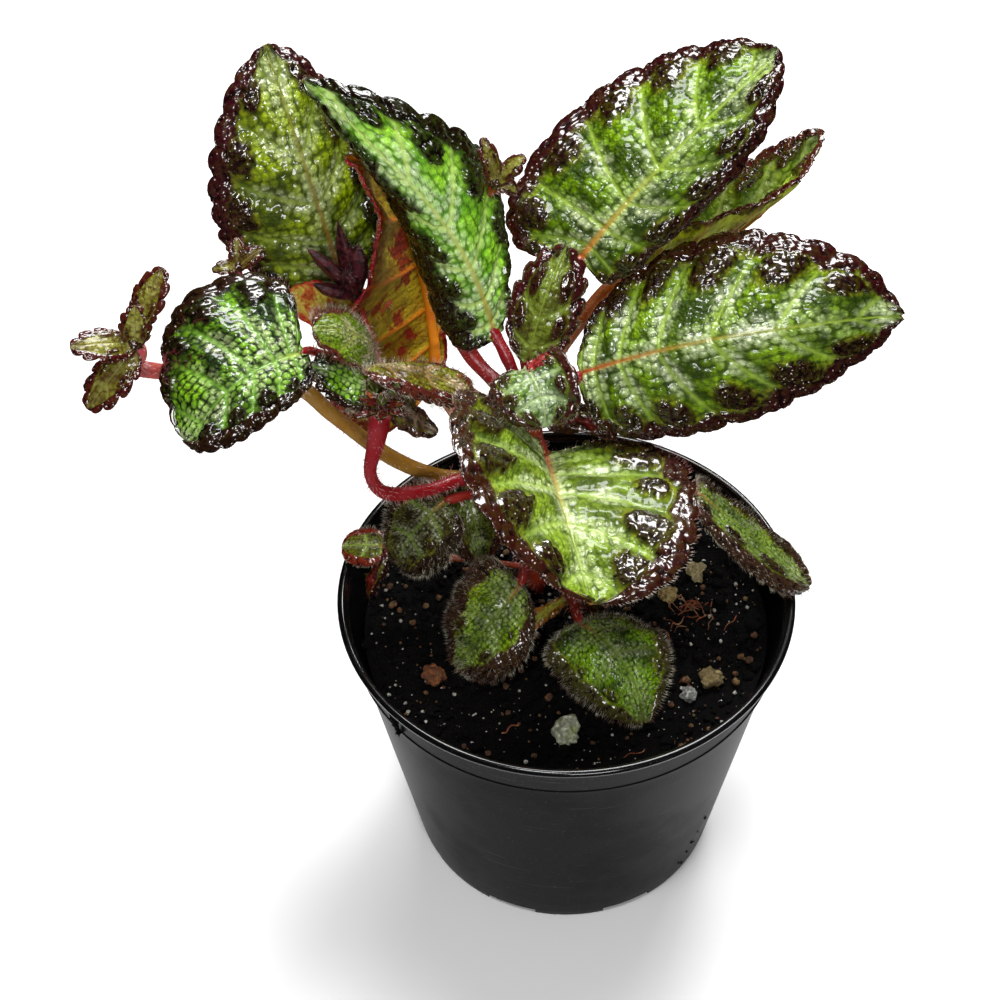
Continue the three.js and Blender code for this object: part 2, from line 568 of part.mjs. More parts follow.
// Five pointed lobes that spread from the foot of the flower cup.
function calyxBody() {
  const foot = new THREE.Vector3(...CALYX_FOOT.at);
  const upright = new THREE.Vector3(0, 1, 0);
  const lobes = CALYX_TIPS.map((tip) => {
    const axis = new THREE.Vector3(...tip).sub(foot);
    const length = axis.length();
    const points = CALYX_LOBE.map(([r, t]) => new THREE.Vector2(r, t * length));
    const lobe = new THREE.LatheGeometry(points, CALYX_SIDES);
    const turn = new THREE.Quaternion().setFromUnitVectors(upright, axis.normalize());
    return solid(lobe.applyQuaternion(turn).translate(...CALYX_FOOT.at));
  });
  return joined([ball(CALYX_FOOT), ...lobes]);
}

function stalkBody({ path, radius }, grow = 0) {
  const steps = 2 * (path.length - 1);
  return solid(stalk(path, radius + grow, steps));
}

const plant = new THREE.Group();

function addNode(name, body, colour) {
  const [color, roughness] = COLOURS[colour];
  const material = new THREE.MeshStandardMaterial({ color, roughness, metalness: 0 });
  const mesh = new THREE.Mesh(geometryOf(body), material);
  mesh.name = name;
  plant.add(mesh);
}

// All that grows on the main stem, as one body. Grown by the gap it clears its neighbours.
function stemsBody(grow) {
  const stalks = [MAIN_STEM, ...Object.values(RED_STALKS), CALYX_STALK];
  return joined([ball(STEM_HEAD, grow), ball(ROSETTE, grow),
    ...stalks.map((item) => stalkBody(item, grow))]);
}

function runnerBody(grow) {
  return joined(Object.values(TAN_STALKS).map((item) => stalkBody(item, grow)));
}

function blades(leaves) {
  return leaves.map((leaf) => solid(bladeGeometry(leaf)));
}

const stemsClear = stemsBody(GAP);
const runnerClear = runnerBody(GAP);

let soil = soilBody();
for (const item of Object.values(STONES)) soil = soil.subtract(stone(item, GAP));
const { at: holeAt, radius: holeRadius, length: holeLength, sides: holeSides } = STEM_HOLE;
const plainHole = new THREE.CylinderGeometry(holeRadius, holeRadius, holeLength, holeSides)
  .rotateX(Math.PI / 2).translate(...holeAt);
soil = soil.subtract(solid(plainHole));

const farLeft = joined([ball(FAR_LEFT), stalkBody(FAR_LEFT_STALK), ...blades(FAR_LEFT_LEAVES)]);
const shootLeft = joined([ball(SHOOT_LEFT), ...blades(SHOOT_LEFT_LEAVES)]);
const shootBack = joined([ball(SHOOT_BACK), ...blades(SHOOT_BACK_LEAVES)]);
const runner = runnerBody(0).subtract(stemsClear)
  .subtract(ball(FAR_LEFT, GAP)).subtract(ball(SHOOT_LEFT, GAP));

addNode('pot', potBody(), 'pot');
addNode('soil', largest(soil), 'soil');
for (const [name, item] of Object.entries(STONES)) addNode(name, stone(item), 'stone');
addNode('stems', stemsBody(0), 'stem');
addNode('runner', largest(runner), 'runner');
addNode('plantlet_far_left', largest(farLeft.subtract(runnerClear)), 'leaf');
addNode('plantlet_shoot_left', largest(shootLeft.subtract(runnerClear)), 'leaf');
addNode('plantlet_shoot_back', largest(shootBack.subtract(stemsClear)), 'leaf');
addNode('calyx', largest(calyxBody().subtract(stemsClear)), 'dark');

for (const [name, leaf] of Object.entries(LEAVES)) {
  const blade = largest(solid(bladeGeometry(leaf)).subtract(stemsClear));
  addNode(`leaf_${name}`, blade, leaf.colour ?? 'leaf');
}
for (const [name, [base, tip, face, half, curl, teeth, colour]] of Object.entries(LOOSE_LEAVES)) {
  const blade = solid(bladeGeometry(smallLeaf(base, tip, face, half, curl, teeth)));
  addNode(name, largest(blade.subtract(stemsClear)), colour);
}

export default plant;
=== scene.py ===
import math
import random

import bpy
import numpy as np
from mathutils import Matrix, Vector, noise


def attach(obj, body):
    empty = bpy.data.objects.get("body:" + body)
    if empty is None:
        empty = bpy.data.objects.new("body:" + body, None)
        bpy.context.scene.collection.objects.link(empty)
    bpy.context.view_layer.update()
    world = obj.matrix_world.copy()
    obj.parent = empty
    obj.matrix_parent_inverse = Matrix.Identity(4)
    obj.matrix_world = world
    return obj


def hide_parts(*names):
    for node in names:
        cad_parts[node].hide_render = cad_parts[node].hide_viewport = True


# A flame violet in a black nursery pot. Shapes are worked out in millimetres in the frame of
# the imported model, +Z up with the origin in the middle of the pot's base, and become metres
# when a piece is made.
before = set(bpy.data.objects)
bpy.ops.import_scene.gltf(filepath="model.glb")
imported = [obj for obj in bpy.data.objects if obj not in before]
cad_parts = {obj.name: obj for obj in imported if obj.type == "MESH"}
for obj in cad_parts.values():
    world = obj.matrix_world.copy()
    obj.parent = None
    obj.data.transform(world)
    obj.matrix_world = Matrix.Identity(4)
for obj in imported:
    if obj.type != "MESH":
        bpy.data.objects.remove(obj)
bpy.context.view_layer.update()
MM = 0.001
draw = random.Random(11)

# Pot and soil
POT_HEIGHT = 90
RIM_RADIUS = 60
BASE_RADIUS = 42
WALL = 1.4
COLLAR_HEIGHT = 12.5
COLLAR_STEP = 0.9
RIM_WIDTH = 2.2
FOOT_RISE = 2.4
FOOT_STEPS = 8
FOOT_STEP_SIZE = (12, 14)
DRAIN_RADIUS = 4
DRAIN_CIRCLE = 35
POT_SEGMENTS = 144
SOIL_LEVEL = 76
SOIL_RINGS = 84
SOIL_SEGMENTS = 260

# Loose clods, crumbs at the rim as place and size, and crumbs on the wall as height and angle
CLODS = 1500
RIM_CRUMBS = [
    ((-45, -37, 86.5), 0.8), ((-44.8, -37.6, 85), 0.7), ((-44.4, -38, 83.6), 0.9),
    ((-44.6, -37.2, 82.4), 0.6), ((-44.1, -37.7, 81.2), 0.65), ((-44.3, -37.1, 80), 0.5),
    ((-43.9, -37.2, 78.6), 0.6), ((-57.6, 12, 86), 0.4),
]
WALL_CRUMBS = [(24, -0.62), (19, -0.66), (15.5, -0.7), (13.4, -0.66), (11, -0.72), (8, -0.78), (6, -0.74)]
FIBRES = 46

# Stones and chips, with a light, a dark and a stain colour and the share of the stain
CHIPS = {
    "perlite": dict(
        count=420, size=(0.18, 0.62), colours=((226, 224, 212), (150, 148, 138), (120, 130, 80), 0.2)),
    "bark": dict(count=260, size=(0.3, 1.15), colours=((128, 84, 48), (52, 32, 20), (150, 126, 70), 0.4)),
}
STONES = {
    "stone_white": dict(
        at=(-1, -37, 77), radius=3.6, flat=0.75,
        colours=((206, 208, 182), (128, 134, 112), (120, 136, 60), 0.7)),
    "stone_grey": dict(
        at=(31, -26, 76.8), radius=2, flat=0.8,
        colours=((172, 172, 166), (98, 98, 94), (120, 110, 90), 0.3)),
    "stone_cream": dict(
        at=(36, 16, 77), radius=2.8, flat=0.7,
        colours=((190, 176, 128), (128, 112, 72), (150, 120, 60), 0.4)),
    "stone_ochre": dict(
        at=(28, 8, 77), radius=2.4, flat=0.7,
        colours=((196, 178, 116), (120, 96, 50), (170, 120, 50), 0.5)),
    "stone_tan": dict(
        at=(37, -21, 77), radius=3, flat=0.6,
        colours=((150, 132, 84), (84, 70, 44), (110, 96, 50), 0.5)),
    "stone_brown": dict(
        at=(-35, -18, 77), radius=2.8, flat=0.65,
        colours=((150, 88, 44), (66, 34, 18), (140, 96, 50), 0.3)),
}

# Blades: their thickness and the keel below the midrib, the place where the rim starts, the size of
# a cell of the net and of a bead, the depth between teeth, the columns that the underside skips, and
# the place along the midrib from where it hooks down.
BLADE = 0.6
MIDRIB_KEEL = 0.9
RIM_START = 0.78
CELL = 2.3
BEAD = 1.9
TOOTH_DEPTH = 1.5
UNDER_GAP = 5
HOOK_START = 0.6

# From LARGE_HALF a blade has its relief in full, and above RIB_HALF it has a rib beneath. Both are
# half widths.
LARGE_HALF = 20
RIB_HALF = 12

# Relief: the blisters as a share of the half width, the rest in millimetres. Beads have one part
# that all blades get and one that grows with the blade.
BLISTER_SHARE = 0.044
CELL_RISE = 0.48
BEAD_RISE = (0.25, 0.65)
VEIN_DEPTH = 0.3
MIDRIB_DEPTH = 0.5
PATCH_RISE = 0.8
ROLL_RISE = 0.8

# The silver is a pale band by the veins and the midrib and, on the dome tops, a painted highlight. It is
# gained and then lowered, so that only its strongest places show. The skin's domes are shifted by up to
# DOME_WANDER millimetres.
SILVER_AND_HIGHLIGHT_GAIN = 1.45
SILVER_AND_HIGHLIGHT_FLOOR = 0.34
DOME_WANDER = 0.9

# A blade's base, tip and the way it faces, how far its midrib arches, bends aside and hooks down at
# the tip, its twist, fold and curl in degrees, and its number of teeth. Pairs are for its left and
# its right side: half width, place of the widest point, fullness towards the base, sharpness towards
# the tip and depth of the lobe at the base.
PLAIN_LEAF = dict(
    arch=0, bend=0, hook=0, twist=0, fold=0, widest=(0.5, 0.5), full=(0.6, 0.6), sharp=(0.8, 0.8),
    lobe=(0.05, 0.05))


def leaf_shape(base, tip, face, **shape):
    """The plain leaf with its own ends, the way it faces and what else differs."""
    return dict(PLAIN_LEAF, base=base, tip=tip, face=face, **shape)


LEAVES = {
    "back_left": leaf_shape(
        (-55, 46, 155), (-71, 66, 216), (0.23, -0.62, 0.75), arch=9, bend=-2, hook=1, twist=8, fold=-10,
        half=(27, 20), widest=(0.39, 0.44), full=(0.85, 0.81), sharp=(1.18, 1.08), lobe=(0, 0),
        curl=(33, 26), teeth=14),
    "upper_left": leaf_shape(
        (-17, 32, 151), (-60, 37, 219), (-0.2, -0.84, 0.5), arch=-1, bend=8, hook=14, twist=-66, fold=-22,
        half=(21, 20), widest=(0.44, 0.43), full=(0.82, 0.94), sharp=(0.77, 1.35), lobe=(0.04, 0),
        curl=(75, 36), teeth=14),
    "folded_left": leaf_shape(
        (-33, 43, 124), (-52, 49.5, 195), (-0.49, 0.33, -0.81), arch=4, bend=-13, twist=90, fold=-14,
        half=(5, 35), widest=(0.36, 0.36), full=(0.85, 0.85), sharp=(1.2, 1.44), lobe=(0.04, 0.1),
        curl=(30, -18), teeth=14),
    "upper_right": leaf_shape(
        (5, 42, 168), (55, 71, 207), (-0.25, -0.51, 0.82), arch=5, hook=-1, twist=-33, fold=-1,
        half=(30, 17), widest=(0.39, 0.45), full=(1.06, 0.72), sharp=(0.91, 1.34), lobe=(0.21, 0.1),
        curl=(25, 75), teeth=14),
    "far_right": leaf_shape(
        (21, 58, 148), (70, 83, 173), (-0.07, -0.1, 0.99), arch=-4, bend=4, hook=-2, twist=35, fold=55,
        half=(14, 24), widest=(0.45, 0.44), full=(0.8, 0.8), sharp=(1.07, 0.92), curl=(11, -5), teeth=12),
    "right": leaf_shape(
        (4, 25, 144), (85, 28, 157), (-0.05, -0.83, 0.56), arch=6, bend=-4, hook=8, twist=26, fold=-15,
        half=(29, 27), widest=(0.42, 0.43), full=(0.76, 0.78), sharp=(0.95, 1.21), lobe=(0, 0.03),
        curl=(36, 24), teeth=14),
    "front": leaf_shape(
        (-5, 15, 125), (5, -34, 124), (0.49, -0.13, 0.86), arch=6, bend=5, hook=1, twist=14, fold=24,
        half=(35, 37), widest=(0.4, 0.4), full=(0.64, 0.72), sharp=(0.86, 0.89), lobe=(0.12, 0.13),
        curl=(4, 17), teeth=14),
    "front_left": leaf_shape(
        (-64, 13, 164), (-91, -3, 149), (-0.35, -0.43, 0.83), arch=7, bend=1, hook=-2, twist=29, fold=14,
        half=(13, 28), widest=(0.5, 0.42), full=(0.67, 0.74), sharp=(0.87, 0.62), lobe=(0.04, 0.18),
        curl=(66, 31), teeth=12),
    "heart_upright": leaf_shape(
        (-9, 24, 149), (1, 37, 176), (0.02, -0.7, 0.72), arch=2, bend=-1, twist=-2, fold=-7, half=(9, 11),
        widest=(0.47, 0.49), full=(0.86, 0.84), sharp=(1.01, 0.95), lobe=(0, 0), curl=(25, 28), teeth=8),
    "heart_curled": leaf_shape(
        (-9, 19, 151), (-5, 8, 142), (0.25, -0.45, 0.85), arch=3, fold=5, half=(11, 13),
        widest=(0.42, 0.42), sharp=(0.8, 0.9), lobe=(0.2, 0.2), curl=(-55, 60), teeth=7),
    "hairy_mid": leaf_shape(
        (-49, 13, 159), (-22.5, 13, 148.5), (-0.05, 0.1, 0.99), arch=3, hook=1, twist=70, half=(8.5, 8),
        curl=(60, 75), teeth=7),
    "hairy_top": leaf_shape(
        (-47, 21, 156), (-61, 14, 171), (0.1, -0.35, 0.92), arch=4, half=(8, 10), curl=(60, 60), teeth=7),
    "back_small": leaf_shape(
        (-52, 38, 151), (-69, 40, 160), (0.1, 0.69, -0.72), arch=1, half=(7, 6), widest=(0.42, 0.42),
        full=(0.85, 0.85), sharp=(1.2, 1.2), curl=(20, 20), teeth=5),
    "low_right": leaf_shape(
        (33, 6, 120), (63, -2, 91), (0.39, -0.19, 0.9), arch=3, bend=2, twist=15, fold=-1, half=(14, 8),
        widest=(0.49, 0.53), full=(0.69, 0.71), sharp=(0.8, 0.77), lobe=(0.06, 0.04), curl=(66, 60),
        teeth=8),
    "low_front_left": leaf_shape(
        (-12, -7, 100), (-30, -17, 80), (-0.36, -0.44, 0.82), arch=4, bend=-2, hook=3, twist=10, fold=-1,
        half=(13, 20), widest=(0.51, 0.49), full=(0.73, 0.58), sharp=(0.89, 0.9), lobe=(0, 0.06),
        curl=(40, 52), teeth=8),
    "low_front": leaf_shape(
        (3, -15, 94), (19, -36, 80), (0.12, -0.42, 0.9), arch=6, bend=-2, hook=3, twist=15, fold=-6,
        half=(18, 16), widest=(0.45, 0.4), full=(0.61, 0.63), sharp=(1.01, 1.03), lobe=(0.04, 0.1),
        curl=(50, 55), teeth=8),
    "low_left": leaf_shape(
        (-31, 12, 112), (-44, 8, 92), (-0.3, -0.5, 0.8), arch=4, half=(12, 14), curl=(60, 40), teeth=7),
    "low_mid": leaf_shape(
        (-26, 20, 112), (-22, 9, 91), (0.1, -0.5, 0.86), arch=3, half=(9, 8), curl=(50, 50), teeth=6),
    "tiny_left": leaf_shape(
        (-48, 13, 94), (-59, 15, 92), (0, -0.3, 0.95), arch=1, half=(6, 6), widest=(0.42, 0.42),
        curl=(30, 30), teeth=5),
}


def small_leaf(base, tip, face, half, curl=30, teeth=4, bend=0, arch=1):
    """A small, even leaf given by its ends, the way it faces, its half width and its curl."""
    return leaf_shape(
        base, tip, face, arch=arch, bend=bend, hook=0.5, fold=4, half=(half, half), full=(0.7, 0.7),
        sharp=(0.9, 0.9), lobe=(0, 0), curl=(curl, curl), teeth=teeth)


def stalk(*path, radius, tan=0.0, grow=1.0, hairy=0.55):
    """A stalk along a path. Tan says how far its red turns to tan, grow how much it widens towards
    its end and hairy how densely it is haired."""
    return dict(path=path, radius=radius, tan=tan, grow=grow, hairy=hairy)


# The red stem with its branch, its leaf stalks and the crimson runner
STALKS = {
    "main": stalk((-7, 14, 58), (-7, 15, 80), (-6, 17, 105), (-9, 20, 134), radius=3, tan=0.2),
    "branch": stalk(
        (-6, 18, 122), (-10, 20, 135), (-16, 25, 140), (-22, 31, 143), (-27, 37, 148), radius=2.0,
        tan=0.05),
    "upper_left": stalk((-10, 21, 136), (-13, 26, 145), (-17, 32.6, 150.5), (-19, 33.8, 153.5), radius=1.6),
    "folded_left": stalk((-8, 19, 112), (-24, 34, 114), (-33, 43, 124.5), radius=1.7, tan=0.8),
    "back_left": stalk(
        (-14, 22, 134), (-25, 38, 127), (-36, 51, 129), (-47, 56, 142), (-55, 45.9, 155), radius=1.4,
        tan=0.2),
    "upper_right": stalk(
        (-9, 20, 133), (-6, 27, 146), (-1, 36, 158), (5, 41.8, 168.4), radius=1.6, tan=0.5),
    "far_right": stalk(
        (-8, 20, 130), (-4, 32, 137), (5.5, 45, 144.5), (12, 51.5, 148), (21, 56, 148), radius=1.8,
        tan=0.95, grow=1.5),
    "right": stalk((-9, 19, 132), (-2, 22, 138), (4.4, 25, 144.2), radius=1.7),
    "front": stalk((-8, 19, 124), (-7, 19, 126.5), (-5, 15, 125), radius=1.6, tan=0.2),
    "heart_upright": stalk((-9, 20, 135), (-9, 23, 142), (-9, 24, 149.5), radius=1.4),
    "heart_curled": stalk((-9, 20, 135), (-10, 18, 144), (-9, 19.2, 151), radius=1.2),
    "plantlet": stalk(
        (-8, 21, 134), (-12, 38, 150), (-19, 50, 168), (-18, 49, 182), (-16, 44, 189), radius=1,
        tan=0.1),
    "low_right": stalk((-6, 16, 96), (8, 12, 104), (22, 8, 113), (33.2, 6, 120), radius=1.2, tan=0.3),
    "low_front": stalk((-7, 15, 84), (0, 1, 89), (3, -15, 94), radius=1.3, tan=0.1),
    "low_front_left": stalk((-7, 15, 88), (-10, 5, 96), (-12, -7, 100), radius=1.3, tan=0.1),
    "low_left": stalk((-7, 17, 100), (-20, 18, 108), (-31, 12.2, 112), radius=1.3, tan=0.1),
    "low_mid": stalk((-7, 16, 102), (-18, 19, 110), (-26, 20, 112), radius=1.2, tan=0.1),
    "tiny_left": stalk((-7, 15, 82), (-26, 13, 88), (-48, 13, 94), radius=0.9, tan=0.3),
    "runner": stalk(
        (-7, 18, 108), (-24, 18, 114), (-36, 10, 118), (-46, 5, 123), (-49, 4, 131), (-47, 7, 140),
        (-45, 11, 150), radius=1.7, grow=1.6, hairy=1.3),
    "back_small": stalk((-44, 47.5, 150), (-48, 43, 149), (-52, 38.2, 150.8), radius=0.9, tan=0.4),
    "hairy_mid": stalk((-45, 11, 150), (-48, 8, 154), (-47, 10, 157), radius=1, tan=0.5),
    "hairy_top": stalk((-45, 11, 150), (-46, 17, 152), (-47, 21, 156), radius=1, tan=0.3),
    "front_left": stalk(
        (-45, 12, 149), (-54, 22, 151), (-62, 18, 160), (-64, 13, 164), radius=1.1, hairy=1.2),
    "calyx": stalk((-44, 12, 151), (-47, 24, 154), (-52, 38, 161), radius=0.9, tan=0.1),
}

# Where stalks meet, as place, radius and share of tan
STEM_LUMPS = [((-9, 20, 134), 3.255, 0.2), ((-45, 11, 150), 2.52, 0.1)]

# The tan runner and its side shoot turn pink towards their ends.
TAN_STALKS = [
    stalk((-9, 20.5, 104), (-20, 26, 105), (-32.5, 25, 108), (-43, 21, 118), (-58, 14, 142),
        (-66, 15, 151), (-80, 18, 151), (-92, 22, 149), (-103, 19, 154), (-104, 10, 164),
        (-101, 2.5, 175), (-101, 1, 179), radius=2, tan=1.0, hairy=0.5),
    stalk((-80, 18, 151), (-79, 32, 160), (-80, 36, 172), radius=0.8, tan=1.0, hairy=0.5),
]

# Young plantlets as the place and radius of their tip, and their leaves
PLANTLETS = {
    "plantlet_far_left": ((-101, 1, 179), 1.7, [
        small_leaf((-100, 2, 184), (-93, 8, 196), (-0.2, -0.6, 0.75), 4.5),
        small_leaf((-102, 1, 179), (-115, -4, 183), (0, -0.4, 0.9), 4.5),
        small_leaf((-101, 0, 178), (-113, -8, 167), (-0.1, -0.6, 0.75), 5.5),
        small_leaf((-101, 1, 179), (-100, 3, 189), (0.1, -0.6, 0.75), 4),
        small_leaf((-101, 1, 179), (-108, -2, 178), (0.1, -0.5, 0.85), 3)]),
    "plantlet_shoot_left": ((-80, 36, 172), 1.5, [
        small_leaf((-80, 36, 172), (-86, 34, 173), (0, -0.5, 0.85), 2, 20, 3),
        small_leaf((-80, 36, 172), (-80, 40, 178), (0, -0.7, 0.7), 2.4, 20, 3),
        small_leaf((-80, 36, 172), (-74, 38, 176), (0, -0.6, 0.8), 2.2, 20, 3)]),
    "plantlet_shoot_back": ((-16, 43, 191), 1.5, [
        small_leaf((-16, 43, 191), (-19, 45, 203), (0.2, -0.7, 0.7), 2.6, 20, 3),
        small_leaf((-16, 43, 191), (-9, 44, 198), (-0.2, -0.5, 0.8), 3, 60, 3),
        small_leaf((-16, 43, 191), (-11, 42, 189), (0.2, -0.6, 0.7), 2.2, 20, 3)]),
}

# Single leaves that lie loose or dried, with their colours
LOOSE_LEAVES = {
    "leaf_withered": (small_leaf((-44, 13, 149), (-33, 13, 136), (0.3, -0.6, 0.7), 6, 110), "withered"),
    "leaf_young_dark": (small_leaf((-5, 23, 131), (14, 20, 128), (0, -0.4, 0.9), 6, -70), "dark_red"),
    "leaf_curled_strip": (
        small_leaf((-47, 13, 93), (-53, 7, 80), (-0.4, -0.6, 0.7), 2.4, 100), "dark_red"),
    "bract_dry": (small_leaf((1, -1, 89), (-12, -8, 82), (0, -0.4, 0.9), 2.2, 40), "dry_bract"),
    "leaf_small_red": (small_leaf((1, -4, 90), (13, -10, 84), (0.2, -0.4, 0.9), 4, 40), "dark_red"),
}

# What only the dressed model has: a piece's name, colours, slot and leaves
ROSETTE_LEAVES = [
    ("heart_lobe", "lobe", "leaf", [
        small_leaf((-9, 19.5, 151.5), (3, 18, 150.5), (0, -0.4, 0.9), 3, 110, bend=-2.5, arch=1.5)]),
    ("rosette_bracts", "dark_red", "dark_leaf", [
        small_leaf((-45, 10, 149), (-50, 6, 155), (-0.2, -0.7, 0.7), 1.7, 60),
        small_leaf((-45, 10, 149), (-40, 5, 154), (0.3, -0.7, 0.7), 1.6, 60),
        small_leaf((-45, 9, 148), (-46, 3, 151), (0, -0.8, 0.6), 1.5, 50),
        small_leaf((-45, 10, 148), (-39, 6, 149), (0.3, -0.7, 0.7), 1.3, 50),
        small_leaf((-46, 10, 148), (-52, 6, 149), (-0.3, -0.7, 0.7), 1.4, 50)]),
    ("rosette_buds", "low_left", "hairy_leaf", [
        small_leaf((-45, 10, 151), (-48, 7, 160), (-0.2, -0.7, 0.7), 2.4, 130),
        small_leaf((-44, 10, 151), (-41, 7, 159), (0.3, -0.7, 0.7), 2.2, 130),
        small_leaf((-45, 9, 150), (-45, 5, 157), (0, -0.8, 0.6), 2, 130)]),
    ("rosette_fold", "front_left", "leaf", [
        small_leaf((-45, 11, 151), (-62, 11, 162), (0, -0.5, 0.85), 6.6, 40, 5)]),
    ("rosette_membrane", "membrane", "dry_leaf", [
        small_leaf((-45, 11, 149), (-58, 10, 154), (0.1, -0.5, 0.85), 3.6, 50),
        small_leaf((-46, 11, 148), (-54, 7, 150), (-0.1, -0.6, 0.8), 2.4, 70)]),
]

# The spent flower cup. A lobe's outline is radius and place along it.
CALYX_FOOT = ((-52, 38, 161), 2.2)
CALYX_LOBE = [(0, 0), (1.7, 0.1), (2.5, 0.4), (2.1, 0.68), (0.9, 0.88), (0, 1)]
CALYX_TIPS = [(-63, 38, 176), (-55, 41, 182), (-50, 39, 176), (-62, 34, 168), (-54, 33, 172)]
CALYX_SIDES = 24
CALYX_ROWS = 26
CALYX_HAIRS = 90

# The looks of blades. rim is the dark share of the half width on the left and right, row how far the
# dark patches lie inside it, deep how far they spread inwards and patch their strength. red says how
# far the midrib is coloured, line how wide it is drawn and rib how thick it is beneath. notch, teeth
# and bead multiply the usual depth and number of teeth and height of beads. cell is the size of the
# net's cells and crumple the height of creases, in millimetres.
BIG = dict(rim=(0.22, 0.22), row=0.07, patch=1.0)
SOFT = dict(rim=(0.42, 0.42), row=0.1, patch=0.3, notch=0.8, teeth=1.6, bead=0.5, cell=1.25)
YOUNG = dict(rim=(0.4, 0.4), row=0.12, patch=0.6, teeth=1.25, notch=2.2)
ROSETTE_LOOK = dict(rim=(0.3, 0.3), row=0.1, patch=0.4, crumple=1.0, teeth=1.5, notch=1.6)
LOOSE = dict(rim=(0.5, 0.5), row=0.1, patch=0.4, crumple=2.4, teeth=1.5)

# Seeds of the patterns on the blades that aren't in LEAVES
LOOSE_SEED = 40
YOUNG_SEED = 60
ROSETTE_SEED = 90

# Each leaf's look, its slot, and the number and length of its hairs
LOOKS = {
    "back_left": (dict(BIG, red=1.2, line=0.6), "leaf", 260, 0.9),
    "upper_left": (dict(BIG, rim=(0.56, 0.22), deep=0.18, red=0.9, line=0.7), "leaf", 300, 1.0),
    "folded_left": (dict(BIG, rim=(0.3, 0.14), patch=0.2, rib=2.0), "leaf_underside", 420, 1.3),
    "upper_right": (dict(BIG, rim=(0.2, 0.26), deep=0.15, red=0.75, line=0.7), "leaf", 220, 0.8),
    "far_right": (dict(BIG, rim=(0.2, 0.14)), "leaf", 160, 0.8),
    "right": (dict(BIG, deep=0.18, row=0.09, patch=1.1, red=1.0, line=0.55), "leaf", 420, 1.0),
    "front": (
        dict(BIG, rim=(0.19, 0.18), row=0.09, deep=0.18, patch=1.05, red=0.95, line=1.0),
        "leaf", 1200, 1.7),
    "front_left": (dict(BIG, rim=(0.3, 0.19), patch=0.85, cell=1.9), "leaf", 500, 1.3),
    "heart_upright": (dict(BIG, rim=(0.34, 0.34), row=0.14, patch=1.3, notch=1.6), "leaf", 320, 1.0),
    "heart_curled": (dict(BIG, rim=(0.3, 0.3), row=0.12), "leaf", 420, 1.0),
    "hairy_mid": (dict(SOFT, rim=(0.4, 0.45), crumple=1.2), "hairy_leaf", 800, 2.4),
    "hairy_top": (dict(SOFT, rim=(0.2, 0.34), patch=0.2, crumple=0.8), "hairy_leaf", 800, 2.3),
    "back_small": (dict(BIG, rim=(0.2, 0.2), patch=0.2), "leaf_underside", 120, 0.8),
    "low_right": (dict(SOFT, rim=(0.5, 0.46), patch=0.9), "hairy_leaf", 1200, 1.6),
    "low_front_left": (dict(SOFT, rim=(0.4, 0.5)), "hairy_leaf", 1500, 1.8),
    "low_front": (dict(SOFT, rim=(0.3, 0.3)), "hairy_leaf", 1700, 1.8),
    "low_left": (SOFT, "hairy_leaf", 1000, 1.7),
    "low_mid": (SOFT, "hairy_leaf", 700, 1.5),
    "tiny_left": (SOFT, "hairy_leaf", 300, 1.0),
}

